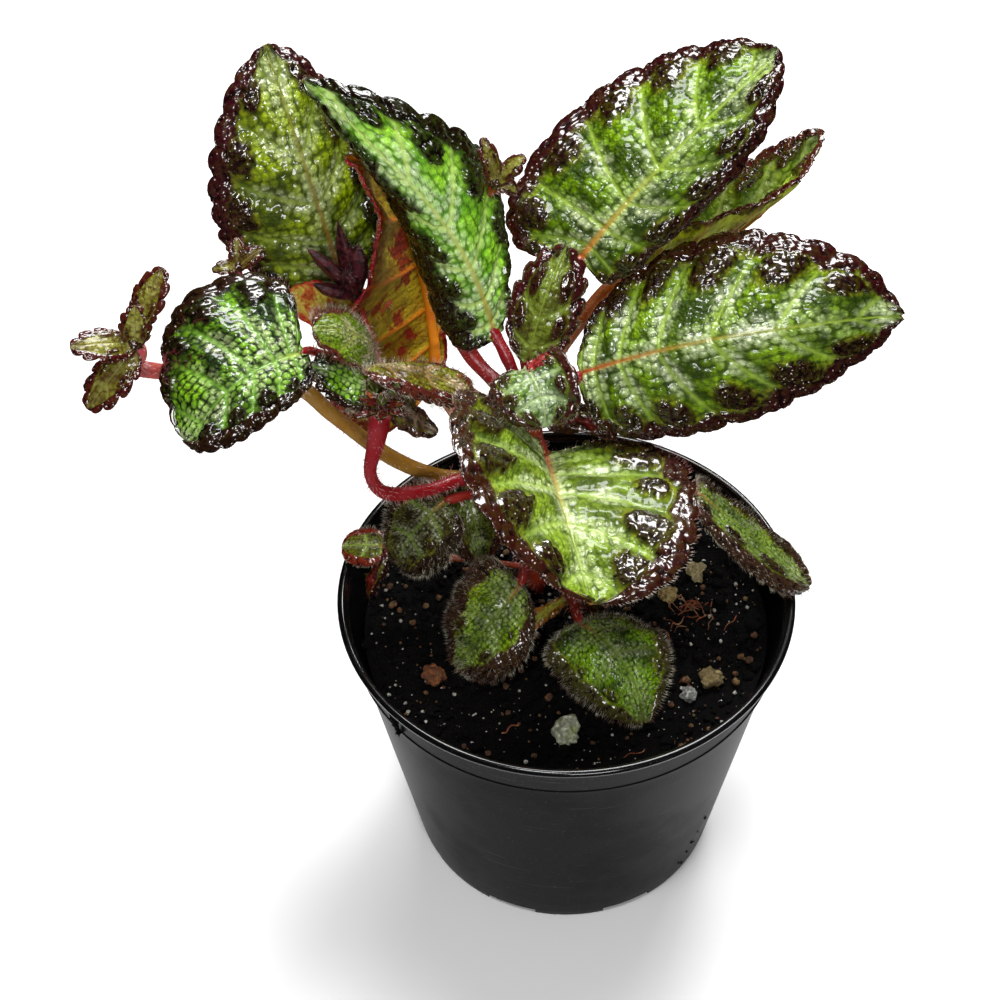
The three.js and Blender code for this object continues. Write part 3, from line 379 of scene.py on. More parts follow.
# Colours of the blades as they look on screen, 0 to 255: the common ones and each leaf's own
LEAF_COLOURS = {
    "Green": (126, 164, 4),
    # Deep green is also the colour of the shade painted in the grooves and hollows between the domes.
    "Deep green": (46, 66, 0),
    "Halo": (128, 128, 6),
    # Silver is the pale band by the veins and also the colour of the highlights painted on the dome tops.
    "Silver": (222, 236, 176),
    "Vein": (152, 182, 62),
    "Midrib": (180, 120, 62),
    "Patch": (32, 3, 6),
    "Rim": (46, 4, 11),
    "Net": (30, 46, 2),
    # Painted bead glint is the colour of the glints painted on the dark beads.
    "Bead tip": (226, 206, 200),
    "Underside": (140, 140, 16),
    "Underside blush": (160, 130, 20),
    "Underside net": (80, 40, 8),
}
DUSK = dict(Rim=(54, 30, 22), Patch=(40, 22, 16), Vein=(96, 120, 30))
LEAF_SHADES = {
    "back_left": dict(
        Green=(148, 170, 2), Deep_green=(58, 72, 0), Silver=(232, 242, 190), Vein=(120, 140, 40),
        Midrib=(140, 74, 40), Rim=(52, 7, 17), Patch=(34, 5, 9)),
    "upper_left": dict(
        Halo=(96, 120, 16), Green=(176, 246, 58), Deep_green=(96, 162, 24), Silver=(236, 250, 206),
        Vein=(200, 224, 120), Midrib=(176, 150, 60), Rim=(24, 9, 5), Patch=(20, 9, 5),
        Bead_tip=(190, 190, 176)),
    "folded_left": dict(
        Rim=(150, 16, 40), Patch=(124, 10, 12), Midrib=(196, 106, 10), Underside=(132, 98, 8),
        Underside_blush=(158, 140, 20), Underside_net=(56, 24, 2)),
    "upper_right": dict(Green=(120, 160, 0), Deep_green=(46, 68, 0), Midrib=(190, 120, 50)),
    # far_right's greens are made lighter to make up for the shade that upper_right casts on it: painted
    # light.
    "far_right": dict(
        Green=(190, 216, 70), Deep_green=(106, 134, 30), Vein=(216, 230, 140), Rim=(66, 8, 12),
        Patch=(44, 8, 8), Underside=(150, 164, 4), Underside_blush=(166, 184, 14),
        Underside_net=(110, 96, 6)),
    "right": dict(
        Green=(128, 166, 4), Deep_green=(46, 68, 0), Silver=(232, 244, 196), Midrib=(170, 60, 36)),
    "front": dict(Green=(136, 166, 40), Deep_green=(70, 90, 14), Vein=(156, 184, 80), Midrib=(196, 84, 60),
        Rim=(50, 12, 11), Patch=(34, 13, 9)),
    "front_left": dict(Halo=(70, 96, 14), Green=(132, 190, 24), Deep_green=(28, 56, 2), Vein=(120, 170, 56),
        Midrib=(176, 196, 90), Net=(6, 12, 0), Rim=(36, 15, 7), Patch=(26, 14, 7)),
    "heart_upright": dict(
        Green=(124, 142, 24), Deep_green=(74, 70, 6), Silver=(150, 176, 84), Vein=(140, 160, 54),
        Midrib=(90, 40, 20), Rim=(60, 8, 16), Patch=(44, 6, 10), Halo=(100, 84, 8)),
    "heart_curled": dict(
        Green=(112, 146, 56), Deep_green=(60, 82, 28), Silver=(206, 222, 186), Midrib=(170, 186, 130),
        Vein=(164, 186, 124), Rim=(56, 14, 16), Patch=(40, 14, 12), Underside=(140, 24, 28),
        Underside_blush=(160, 44, 36)),
    "hairy_mid": dict(
        Green=(156, 166, 10), Deep_green=(84, 56, 10), Silver=(232, 206, 176), Vein=(150, 120, 50),
        Midrib=(170, 120, 60), Rim=(84, 26, 22), Patch=(140, 30, 30), Net=(30, 12, 4)),
    "hairy_top": dict(
        Green=(118, 150, 14), Deep_green=(64, 80, 4), Silver=(230, 214, 180), Vein=(130, 140, 40),
        Midrib=(150, 120, 60), Rim=(84, 34, 26), Patch=(150, 16, 12)),
    "back_small": dict(
        Rim=(170, 16, 36), Patch=(180, 20, 30), Midrib=(206, 150, 60), Underside=(206, 190, 60),
        Underside_blush=(216, 200, 90), Underside_net=(190, 130, 40)),
    "low_right": dict(DUSK, Green=(128, 160, 40), Deep_green=(44, 60, 10), Net=(14, 20, 2)),
    # The greens of low_front_left and low_front are made lighter to make up for the shade of the leaves above
    # them: painted light.
    "low_front_left": dict(DUSK, Green=(150, 190, 6), Deep_green=(52, 76, 2), Net=(14, 22, 0)),
    "low_front": dict(
        DUSK, Green=(132, 180, 8), Deep_green=(40, 66, 3), Rim=(58, 54, 22), Patch=(44, 44, 12),
        Net=(14, 22, 0)),
    "low_left": dict(DUSK, Green=(80, 76, 18), Deep_green=(32, 26, 5), Rim=(40, 26, 18), Net=(10, 10, 2)),
    "low_mid": dict(DUSK, Green=(84, 96, 12), Deep_green=(36, 42, 4), Net=(10, 12, 2)),
    "tiny_left": dict(Green=(104, 110, 20), Deep_green=(70, 66, 8), Rim=(110, 30, 20)),
    "plantlet": dict(
        Green=(132, 132, 40), Deep_green=(84, 56, 18), Silver=(190, 184, 120), Vein=(140, 136, 60),
        Midrib=(140, 120, 60), Rim=(70, 16, 14), Patch=(60, 14, 12)),
    "lobe": dict(Green=(168, 30, 40), Deep_green=(120, 16, 24), Silver=(206, 90, 90), Midrib=(170, 40, 44),
        Vein=(180, 50, 50), Halo=(140, 20, 30), Rim=(150, 24, 34), Patch=(120, 16, 24),
        Underside=(120, 16, 24), Underside_blush=(150, 30, 36)),
    "membrane": dict(
        Green=(168, 148, 124), Deep_green=(110, 84, 64), Silver=(216, 206, 190), Midrib=(80, 50, 36),
        Vein=(84, 56, 40), Rim=(110, 74, 58), Patch=(84, 56, 44)),
    "dark_red": dict(Green=(96, 14, 18), Deep_green=(40, 8, 8), Silver=(150, 50, 56), Midrib=(150, 50, 40),
        Vein=(130, 36, 30), Rim=(40, 8, 10), Patch=(32, 6, 8), Underside=(80, 12, 16),
        Underside_blush=(110, 20, 20)),
    "withered": dict(
        Green=(96, 70, 46), Deep_green=(56, 38, 24), Silver=(170, 156, 140), Midrib=(130, 90, 60),
        Vein=(140, 110, 84), Rim=(70, 44, 34), Patch=(54, 34, 26), Underside=(100, 72, 50),
        Underside_blush=(66, 44, 32)),
    "dry_bract": dict(
        Green=(190, 176, 60), Deep_green=(140, 120, 30), Silver=(210, 196, 120), Midrib=(206, 190, 90),
        Rim=(170, 110, 40), Patch=(150, 90, 40), Underside=(176, 150, 60),
        Underside_blush=(190, 170, 80)),
}

# Strength of the net, of the silver with its painted highlight and of the sheen of a skin, its domes per
# metre and their depth in metres
LOW_SKIN = dict(net=0.6, silver=0.35, sheen=0.3, domes=1150.0, depth=0.0004)
SKIN_TRAITS = {
    "back_left": dict(net=0.5, silver=0.45, sheen=0.6),
    "upper_left": dict(net=0.6),
    "upper_right": dict(net=0.5, silver=0.6),
    "right": dict(net=0.5, silver=0.7, sheen=0.5),
    "front": dict(net=0.3),
    "front_left": dict(net=1.0, silver=0.5, sheen=0.6),
    "heart_upright": dict(silver=0.5),
    "hairy_mid": dict(LOW_SKIN, silver=0.9),
    "hairy_top": dict(LOW_SKIN, silver=0.7),
    **dict.fromkeys(
        ("low_right", "low_front_left", "low_front", "low_left", "low_mid", "tiny_left"), LOW_SKIN),
    "plantlet": dict(silver=0.4, domes=1000.0),
    "lobe": dict(silver=0.3),
    "membrane": dict(silver=0.9),
    "dark_red": dict(silver=0.2),
    "withered": dict(silver=0.7),
    "dry_bract": dict(silver=0.3),
}

# Linear colour of the shadow between beads
BEAD_SHADOW = (0.002, 0.0008, 0.001, 1.0)

# The camera's angles in degrees, its distance and shifts in millimetres, and its lens
CAMERA = dict(
    elevation=46.49, roll=1.26, distance=582.6, target=(0, 0, 90), right=-16.74, up=23.78, lens=80,
    sensor=36)

# Each light's place, aim and size in metres and its power in watts
LIGHTS = {
    "overhead": dict(at=(0.1, 0.45, 1.25), aim=(0, 0, 0.1), size=(0.85, 0.5), power=20.0),
    "front_fill": dict(at=(0.2, -1.15, 0.8), aim=(0, 0, 0.12), size=(0.42, 0.25), power=5.4),
    "front_spark": dict(at=(-0.16, -0.45, 1.2), aim=(0, 0, 0.12), size=(0.28, 0.2), power=4.6),
    "back_spark": dict(at=(0.35, 0.9, 0.95), aim=(0, 0, 0.12), size=(0.3, 0.12), power=4.5),
}

# Half the floor's width in millimetres, and where its gloss fades, in metres
FLOOR_HALF = 4000
FLOOR_SHEEN_REACH = (0.11, 0.14)


def shade(red, green, blue):
    """A colour given as it looks on screen, 0 to 255, as linear light."""
    parts = [c / 255 for c in (red, green, blue)]
    return tuple(c / 12.92 if c < 0.04045 else ((c + 0.055) / 1.055) ** 2.4 for c in parts) + (1.0,)


def smooth_step(low, high, value):
    """0 below low, 1 above high and a soft rise between."""
    t = np.clip((value - low) / (high - low), 0, 1)
    return t * t * (3 - 2 * t)


def lattice(i, j, seed):
    """A repeatable number from 0 to 1 for each place of a lattice."""
    value = np.sin(i * 127.1 + j * 311.7 + seed * 74.7) * 43758.5453
    return value - np.floor(value)


def mottle(x, y, size, seed):
    """Smooth blotches from 0 to 1 about size millimetres across."""
    u, w = x / size, y / size
    i, j = np.floor(u), np.floor(w)
    a, b = smooth_step(0, 1, u - i), smooth_step(0, 1, w - j)
    near = lattice(i, j, seed) * (1 - a) + lattice(i + 1, j, seed) * a
    far = lattice(i, j + 1, seed) * (1 - a) + lattice(i + 1, j + 1, seed) * a
    return near * (1 - b) + far * b


def cells(x, y, size, seed):
    """Distances to the nearest and to the second nearest point of a jittered lattice in millimetres,
    and a repeatable number from 0 to 1 for the nearest."""
    u, w = x / size, y / size
    i, j = np.floor(u), np.floor(w)
    nearest = np.full(np.shape(u), 9.0)
    second = np.full(np.shape(u), 9.0)
    chance = np.zeros(np.shape(u))
    for di in (-1, 0, 1):
        for dj in (-1, 0, 1):
            a = i + di + 0.15 + 0.7 * lattice(i + di, j + dj, seed)
            b = j + dj + 0.15 + 0.7 * lattice(i + di, j + dj, seed + 31)
            distance = np.hypot(u - a, w - b)
            chance = np.where(distance < nearest, lattice(i + di, j + dj, seed + 57), chance)
            second = np.minimum(second, np.maximum(nearest, distance))
            nearest = np.minimum(nearest, distance)
    return nearest * size, second * size, chance


def unit(vectors):
    """The vectors at length one."""
    length = np.linalg.norm(vectors, axis=-1, keepdims=True)
    return vectors / np.maximum(length, 1e-9)


def add_object(name, data):
    """An object in the scene, at the origin until it is placed."""
    thing = bpy.data.objects.new(name, data)
    bpy.context.scene.collection.objects.link(thing)
    return thing


class Form:
    """Points in millimetres with faces and masks, gathered until they become one mesh."""

    def __init__(self):
        self.points = []
        self.faces = []
        self.masks = []
        self.count = 0

    def add(self, points, faces, **masks):
        points = np.asarray(points, float)
        self.faces.extend([tuple(self.count + k for k in face) for face in faces])
        self.points.append(points)
        self.masks.append((len(points), masks))
        self.count += len(points)

    def mesh(self, name):
        mesh = bpy.data.meshes.new(name)
        points = np.concatenate(self.points) * MM
        mesh.from_pydata(points.tolist(), [], self.faces)
        for key in sorted({key for _, masks in self.masks for key in masks}):
            values = [np.broadcast_to(masks.get(key, 0.0), (size,)) for size, masks in self.masks]
            layer = mesh.attributes.new(key, "FLOAT", "POINT")
            layer.data.foreach_set("value", np.concatenate(values).astype(np.float32))
        mesh.shade_smooth()
        mesh.update()
        return mesh


def show(form, name, finish, nodes=()):
    """Makes a piece from a form, gives it its finish and ties it to the frame."""
    piece = add_object(name, form.mesh(name))
    piece.data.materials.append(finish)
    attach(piece, "root")
    if nodes:
        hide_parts(*nodes)
    return piece


def stalk_curve(path, spacing=0.8):
    """Points along the smooth curve through a path, about one spacing apart."""
    knots = [np.array(p, float) for p in path]
    ends = [2 * knots[0] - knots[1], *knots, 2 * knots[-1] - knots[-2]]
    points = []
    for k in range(len(knots) - 1):
        p0, p1, p2, p3 = ends[k:k + 4]
        d0, d1, d2 = (np.linalg.norm(b - a) ** 0.5 for a, b in ((p0, p1), (p1, p2), (p2, p3)))
        leave = ((p1 - p0) / d0 - (p2 - p0) / (d0 + d1) + (p2 - p1) / d1) * d1
        arrive = ((p2 - p1) / d1 - (p3 - p1) / (d1 + d2) + (p3 - p2) / d2) * d1
        steps = max(3, round(np.linalg.norm(p2 - p1) / spacing))
        for t in np.arange(steps) / steps:
            points.append(
                p1 + leave * t + (-3 * p1 + 3 * p2 - 2 * leave - arrive) * t ** 2
                + (2 * p1 - 2 * p2 + leave + arrive) * t ** 3)
    points.append(knots[-1])
    return np.array(points)


def tube_frames(curve):
    """Directions along, aside and upwards at each point of a curve, without sudden turns."""
    along = unit(np.gradient(curve, axis=0))
    aside = np.zeros_like(curve)
    start = np.cross(along[0], (0.31, 0.52, 0.79))
    aside[0] = start / np.linalg.norm(start)
    for k in range(1, len(curve)):
        turned = aside[k - 1] - along[k] * aside[k - 1].dot(along[k])
        aside[k] = turned / np.linalg.norm(turned)
    return along, aside, np.cross(along, aside)


def tube_rings(curve, radii, across, high):
    """Rings of points round a curve. Across and high shape the section, one number for each side."""
    _, aside, above = tube_frames(curve)
    ring = across[None, :, None] * aside[:, None] + high[None, :, None] * above[:, None]
    return (curve[:, None] + ring * radii[:, None, None]).reshape(-1, 3)


def column_faces(i, first, last, sides):
    """Quads of one column, from the ring of points that starts at first up to the one at last."""
    j = (i + 1) % sides
    return [(k + i, k + j, k + sides + j, k + sides + i) for k in range(first, last, sides)]


def add_tube(form, curve, radii, sides, **masks):
    """A closed round tube along a curve."""
    angles = 2 * np.pi * np.arange(sides) / sides
    radii = np.broadcast_to(np.asarray(radii, float), (len(curve),))
    points = tube_rings(curve, radii, np.cos(angles), np.sin(angles))
    points = np.concatenate([points, curve[:1], curve[-1:]])
    first, last = len(points) - 2, len(points) - 1
    top = (len(curve) - 1) * sides
    faces = []
    for i in range(sides):
        j = (i + 1) % sides
        faces += [*column_faces(i, 0, top, sides), (first, j, i), (last, top + i, top + j)]
    spread = {}
    for key, value in masks.items():
        value = np.broadcast_to(np.asarray(value, float), (len(curve),))
        spread[key] = np.concatenate([np.repeat(value, sides), value[:1], value[-1:]])
    form.add(points, faces, **spread)


BALLS = {}


def round_ball(detail):
    """Points and triangles of a ball of radius one, split finer for each step of detail."""
    if detail not in BALLS:
        gold = (1 + 5 ** 0.5) / 2
        points = [Vector(p).normalized() for p in (
            (-1, gold, 0), (1, gold, 0), (-1, -gold, 0), (1, -gold, 0), (0, -1, gold), (0, 1, gold),
            (0, -1, -gold), (0, 1, -gold), (gold, 0, -1), (gold, 0, 1), (-gold, 0, -1), (-gold, 0, 1))]
        faces = [(0, 11, 5), (0, 5, 1), (0, 1, 7), (0, 7, 10), (0, 10, 11), (1, 5, 9), (5, 11, 4),
                 (11, 10, 2), (10, 7, 6), (7, 1, 8), (3, 9, 4), (3, 4, 2), (3, 2, 6), (3, 6, 8),
                 (3, 8, 9), (4, 9, 5), (2, 4, 11), (6, 2, 10), (8, 6, 7), (9, 8, 1)]
        for _ in range(detail):
            middle = {}
            finer = []
            for a, b, c in faces:
                for edge in ((a, b), (b, c), (c, a)):
                    edge = tuple(sorted(edge))
                    if edge not in middle:
                        middle[edge] = len(points)
                        points.append((points[edge[0]] + points[edge[1]]).normalized())
                ab, bc, ca = (middle[tuple(sorted(edge))] for edge in ((a, b), (b, c), (c, a)))
                finer += [(a, ab, ca), (b, bc, ab), (c, ca, bc), (ab, bc, ca)]
            faces = finer
        BALLS[detail] = ([tuple(p) for p in points], faces)
    return BALLS[detail]


def add_lump(form, at, radius, detail, rough, seed, flat=1.0, **masks):
    """A rounded lump, flattened by flat, with dents as deep as rough says."""
    points, faces = round_ball(detail)
    moved = []
    for point in points:
        place = Vector(point) * 1.3 + Vector((seed, 3.1 * seed, 7.7))
        swell = 1 + rough * noise.noise(place) + 0.5 * rough * noise.noise(place * 2.7)
        moved.append((point[0] * swell, point[1] * swell, point[2] * swell * flat))
    form.add(np.array(at) + radius * np.array(moved), faces, **masks)


def add_hairs(form, roots, directions, lengths, thickness, droop=0.12):
    """Fine pointed hairs, each a slim closed sliver."""
    roots = np.asarray(roots, float)
    directions = unit(np.asarray(directions, float))
    aside = unit(np.cross(directions, (0.41, 0.23, 0.88)))
    above = np.cross(directions, aside)
    lengths = np.asarray(lengths, float)[:, None]
    corners = []
    for k in range(3):
        angle = 2 * math.pi * k / 3
        corners.append(roots + thickness * (math.cos(angle) * aside + math.sin(angle) * above))
    tips = roots + directions * lengths - np.array((0, 0, droop)) * lengths
    points = np.stack([*corners, tips], axis=1).reshape(-1, 3)
    faces = []
    for k in range(0, len(points), 4):
        faces += [(k, k + 2, k + 1), (k, k + 1, k + 3), (k + 1, k + 2, k + 3), (k + 2, k, k + 3)]
    form.add(points, faces)


def leaf_surface(leaf, s, v):
    """Middle surface of a blade. s runs from base to tip and v from -1 at the left margin over 0 at
    the midrib to 1 at the right margin. Also gives the flat place along and out from the midrib."""
    base, tip, face = (np.array(leaf[key], float) for key in ("base", "tip", "face"))
    length = np.linalg.norm(tip - base)
    along = (tip - base) / length
    up = face - along * face.dot(along)
    up /= np.linalg.norm(up)
    right = np.cross(along, up)
    s, v = np.broadcast_arrays(s, v)
    a = np.abs(v)
    theta = np.pi * s
    near_base = s < 0.5

    def sided(key):
        return np.where(v > 0, leaf[key][1], leaf[key][0])

    half = sided("half")
    power = np.where(near_base, sided("full"), sided("sharp"))
    width = half * np.clip(np.sin(theta), 0, 1) ** power
    widest = sided("widest")
    reach = np.where(
        near_base,
        widest * (1 - np.cos(theta)) - sided("lobe") * np.sin(2 * theta),
        widest - (1 - widest) * np.cos(theta))
    foot = length * s * s
    x = foot + (length * reach - foot) * a ** 1.35
    out = width * a
    t = x / length
    end = np.maximum((t - HOOK_START) / (1 - HOOK_START), 0)
    rise = leaf["arch"] * 4 * t * (1 - t) - leaf["hook"] * end ** 2
    slope = (leaf["arch"] * 4 * (1 - 2 * t) - leaf["hook"] * 2 / (1 - HOOK_START) * end) / length
    tilt = 1 / np.hypot(1, slope)
    swing = leaf["bend"] * 4 * t * (1 - t)
    turn = math.radians(leaf["twist"]) * (np.clip(t, 0, 1) - 0.5)
    fold = math.radians(leaf["fold"])
    curl = np.radians(sided("curl").astype(float)) / half
    flat = np.sign(v) * (np.sin(fold) - np.sin(fold - curl * out)) / curl
    lift = (np.cos(fold - curl * out) - np.cos(fold)) / curl
    across = flat * np.cos(turn) + lift * np.sin(turn) + swing
    high = lift * np.cos(turn) - flat * np.sin(turn)
    points = (
        base + (x - high * slope * tilt)[..., None] * along
        + (rise + high * tilt)[..., None] * up + across[..., None] * right)
    return points, x, out


def column_places(inner, outer):
    """Places across a blade, closer together in the rim."""
    side = np.concatenate([
        np.linspace(0, RIM_START, inner, endpoint=False), np.linspace(RIM_START, 1, outer)])
    return np.concatenate([-side[:0:-1], side])


def toothed(leaf, look, s, v, length, seed):
    """Places across a blade, pulled in between its rounded teeth."""
    teeth = leaf["teeth"] * look.get("teeth", 1)
    notch = min(0.1, TOOTH_DEPTH / max(leaf["half"])) * look.get("notch", 1)
    tooth = 1 - np.abs(np.sin(np.pi * teeth * s)) ** 0.55
    ragged = 0.02 * (mottle(s * length, np.sign(v) * 9, 3, seed) - 0.5)
    return v * (1 - (notch * tooth + ragged) * np.clip((np.abs(v) - 0.6) / 0.4, 0, 1) ** 2)


def side_veins(leaf, s, v, spacing, seed):
    """Where a place lies between two side veins, from -0.5 to 0.5 with 0 halfway, its distance to the
    nearest one in millimetres, and a repeatable number from 0 to 1 for each pair of veins."""
    pairs = leaf["teeth"] / 2
    order = np.round(s * pairs)
    phase = s * pairs - order
    return phase, (0.5 - np.abs(phase)) * spacing / pairs, lattice(order, np.sign(v) + 2, seed)


def dark_parts(s, v, phase, chance, blotch, bead_chance, look):
    """The share of the half width that the dark rim takes, and the masks of the rim, of the patches
    in a row inside it and of the yellow-green halo round both."""
    a = np.abs(v)
    rim_share = np.where(v > 0, look["rim"][1], look["rim"][0])
    rim_width = rim_share + 0.06 * (blotch - 0.5) + 0.05 * (bead_chance - 0.5)
    rim_width -= 0.025 * np.cos(2 * np.pi * phase)
    rim = smooth_step(0, 0.03, a - (1 - rim_width))
    middle = 1 - rim_share - look["row"]
    spread = np.where(a < middle, look.get("deep", 0.14), 0.12)
    row = np.exp(-((a - middle) / spread) ** 2)
    ends = smooth_step(0.02, 0.2, s) * (1 - 0.4 * smooth_step(0.85, 1, s))
    patch = np.cos(np.pi * phase) ** 2 * row * ends * (0.7 + 0.5 * chance) * look["patch"]
    patch = patch + 0.25 * (blotch - 0.5)
    halo = smooth_step(-0.12, 0.1, patch - 0.22)
    halo = np.maximum(halo, smooth_step(-0.07, 0.0, a - (1 - rim_width)))
    patch = smooth_step(-0.03, 0.05, patch - 0.25 - 0.3 * (bead_chance - 0.3)) * (1 - rim)
    return rim_width, rim, patch, halo


def rim_roll(leaf, look, s, a, rim_width):
    """The rolled rim from 0 to 1, higher in the middle of each tooth."""
    teeth = leaf["teeth"] * look.get("teeth", 1)
    band = np.clip((a - (1 - rim_width)) / rim_width, 0, 1)
    scallop = np.abs(np.sin(np.pi * teeth * s)) ** 0.6
    return np.sin(np.pi * np.clip(0.1 + 0.9 * band, 0, 1)) * (band > 0) * (0.4 + 0.6 * scallop)


def blade_relief(leaf, s, v, x, out, spacing, seed, look):
    """Height above the middle surface in millimetres, and the masks that colour the blade."""
    a = np.abs(v)
    size = max(leaf["half"])
    small = min(1, size / LARGE_HALF)
    y = out * np.sign(v)
    phase, vein_gap, chance = side_veins(leaf, s, v, spacing, seed)
    cell = look.get("cell", CELL) * (0.5 + 0.5 * small)
    nearest, second, _ = cells(x, y, cell, seed)
    dome = 1 - np.clip(nearest / (0.66 * cell), 0, 1) ** 2
    bead_size = BEAD * (0.55 + 0.45 * small)
    bead_near, _, bead_chance = cells(x, y, bead_size, seed + 5)
    bead = np.sqrt(1 - np.clip(bead_near / (0.68 * bead_size), 0, 0.98) ** 2)
    blotch = mottle(x, y, 5 * small + 1, seed + 2)
    rim_width, rim, patch, halo = dark_parts(s, v, phase, chance, blotch, bead_chance, look)
    raised = np.maximum(rim, patch)

    lateral = np.exp(-(vein_gap / (0.2 + 0.4 * small)) ** 2)
    midrib = np.exp(-(out / (look.get("line", 0.5) * small * (1 - 0.6 * s) + 0.12)) ** 2)
    fade = 1 - smooth_step(0.55, 0.95, a)
    # The silver: a pale band beside the side veins and the midrib, made brighter on the dome tops as a
    # painted highlight.
    silver = np.exp(-((vein_gap - small) / (1.9 * small)) ** 2) * (1 - smooth_step(0.3, 0.8, a))
    silver = np.maximum(silver, 0.8 * np.exp(-(out / (4.5 * small)) ** 2))
    silver = SILVER_AND_HIGHLIGHT_GAIN * silver * (0.3 + 1.3 * blotch) * (0.55 + 0.5 * dome) - SILVER_AND_HIGHLIGHT_FLOOR
    # low marks the hollows between the domes, where the finish paints shade, and bead marks the beads,
    # between which it paints a shadow.
    masks = dict(
        rim=rim, patch=patch, halo=halo, silver=np.clip(silver, 0, 1), bead=bead * raised, low=1 - dome,
        vein=np.clip(np.maximum(lateral * (0.35 + 0.65 * fade), midrib), 0, 1),
        midrib=midrib * (1 - smooth_step(0.12, look.get("red", 0.5), s)),
        net=1 - smooth_step(0.05, 0.36, (second - nearest) / cell))

    swell = smooth_step(0.02, 0.4, a) * (1 - 0.55 * smooth_step(0.75, 1, a))
    height = BLISTER_SHARE * size * (np.cos(np.pi * phase) ** 2 - 0.35) * swell
    height += CELL_RISE * small * (dome - 0.4) * (1 - raised) * smooth_step(0, 0.12, a)
    height += (BEAD_RISE[0] + BEAD_RISE[1] * small) * (bead - 0.4) * raised * look.get("bead", 1)
    height -= VEIN_DEPTH * small * lateral * (1 - 0.5 * a)
    height -= MIDRIB_DEPTH * small * np.exp(-(out / (1.1 * small)) ** 2) * (1 - 0.6 * s)
    height += PATCH_RISE * small * patch
    height += ROLL_RISE * small * rim_roll(leaf, look, s, a, rim_width)
    crumple = look.get("crumple", 0)
    if crumple:
        height = height + crumple * (mottle(x, y, 3.2, seed + 8) - 0.5)
    return height, masks


def blade_faces(rows, width, narrow):
    """Faces of a closed blade, width points across above and narrow points across below: two sheets,
    each with fans to the base and to the tip, and a wall along each margin."""
    grid = np.arange(rows * width).reshape(-1, width)
    lower = grid.size + np.arange(rows * narrow).reshape(-1, narrow)
    base_top, tip_top, base_low, tip_low = (grid.size + lower.size + k for k in range(4))
    faces = []
    for sheet, base, tip, upper in ((grid, base_top, tip_top, True), (lower, base_low, tip_low, False)):
        quads = np.stack([sheet[:-1, :-1], sheet[:-1, 1:], sheet[1:, 1:], sheet[1:, :-1]], -1)
        found = [tuple(quad) for quad in quads.reshape(-1, 4).tolist()]
        first, last = sheet[0].tolist(), sheet[-1].tolist()
        found += [(base, b, a) for a, b in zip(first, first[1:])]
        found += [(tip, a, b) for a, b in zip(last, last[1:])]
        faces += found if upper else [face[::-1] for face in found]
    for column in (0, -1):
        above = [base_top, *grid[:, column].tolist(), tip_top]
        beneath = [base_low, *lower[:, column].tolist(), tip_low]
        for k in range(len(above) - 1):
            wall = (above[k], above[k + 1], beneath[k + 1], beneath[k])
            faces.append(wall if column == 0 else wall[::-1])
    return faces


def add_blade(form, leaf, look, seed, fineness=1.0):
    """One closed blade with rounded teeth, blisters between the veins and ribs beneath. Gives the
    points and directions of its upper side."""
    length = np.linalg.norm(np.subtract(leaf["tip"], leaf["base"]))
    size = max(leaf["half"])
    rows = int(np.clip(fineness * (2.1 * length + 24), 36, 190))
    inner = int(np.clip(fineness * (1.6 * size + 5), 8, 40))
    outer = int(np.clip(fineness * (0.5 * size + 5), 6, 17))
    places = column_places(inner, outer)
    middle = len(places) // 2
    s = (np.arange(1, rows) / rows)[:, None]
    v = places[None, :]
    points, x, out = leaf_surface(leaf, s, toothed(leaf, look, s, v, length, seed))
    down_leaf = np.gradient(points, axis=0)
    across = np.gradient(points, axis=1)
    normal = unit(np.cross(across, down_leaf))
    spacing = np.linalg.norm(np.cross(down_leaf, unit(across)), axis=-1) * rows
    s, v = np.broadcast_arrays(s, v)
    height, masks = blade_relief(leaf, s, v, x, out, spacing, seed, look)
    edge = np.abs(v) ** 6
    thick = 0.5 * BLADE * (1 - 0.5 * edge)
    top = points + normal * (height + thick)[..., None]

    # The underside has fewer columns. It stays under the lowest relief between them.
    keep = sorted({0, *range(0, middle, UNDER_GAP), middle})
    keep = keep + [len(places) - 1 - k for k in reversed(keep[:-1])]
    padded = np.pad(height, ((0, 0), (UNDER_GAP, UNDER_GAP)), "edge")
    lowest = np.min([padded[:, k:k + height.shape[1]] for k in range(2 * UNDER_GAP + 1)], axis=0)
    floor = lowest + (height - lowest) * np.abs(v) ** 12
    keel = MIDRIB_KEEL * min(1, size / 14) * np.exp(-(out / 1.3) ** 2) * (1 - s)
    ridge = 0.35 * min(1, size / LARGE_HALF) * masks["vein"] * (1 - edge)
    below = (points + normal * (floor - thick - keel - ridge)[..., None])[:, keep]

    ends, _, _ = leaf_surface(leaf, np.array([0.0, 1.0]), np.array([0.0, 0.0]))
    lift = normal[[0, -1], middle] * 0.5 * BLADE
    spread = {"under": np.concatenate([np.zeros(height.size), np.ones(below.size // 3), [0, 0, 1, 1]])}
    for key, value in masks.items():
        at_ends = np.full(4, 0.8 if key in ("midrib", "vein") else 0.0)
        spread[key] = np.concatenate([value.ravel(), value[:, keep].ravel(), at_ends])
    form.add(
        np.concatenate([top.reshape(-1, 3), below.reshape(-1, 3), ends + lift, ends - lift]),
        blade_faces(rows - 1, len(places), len(keep)), **spread)
    if size > RIB_HALF:
        reach = int(0.9 * rows)
        rib = below[:reach:2, keep.index(middle)] - normal[:reach:2, middle] * 0.3
        thickness = look.get("rib", 0.05 * size) * (1 - 0.75 * np.linspace(0, 1, len(rib)))
        add_tube(form, rib, thickness, 12, under=1, vein=1, midrib=1)
    return top, normal


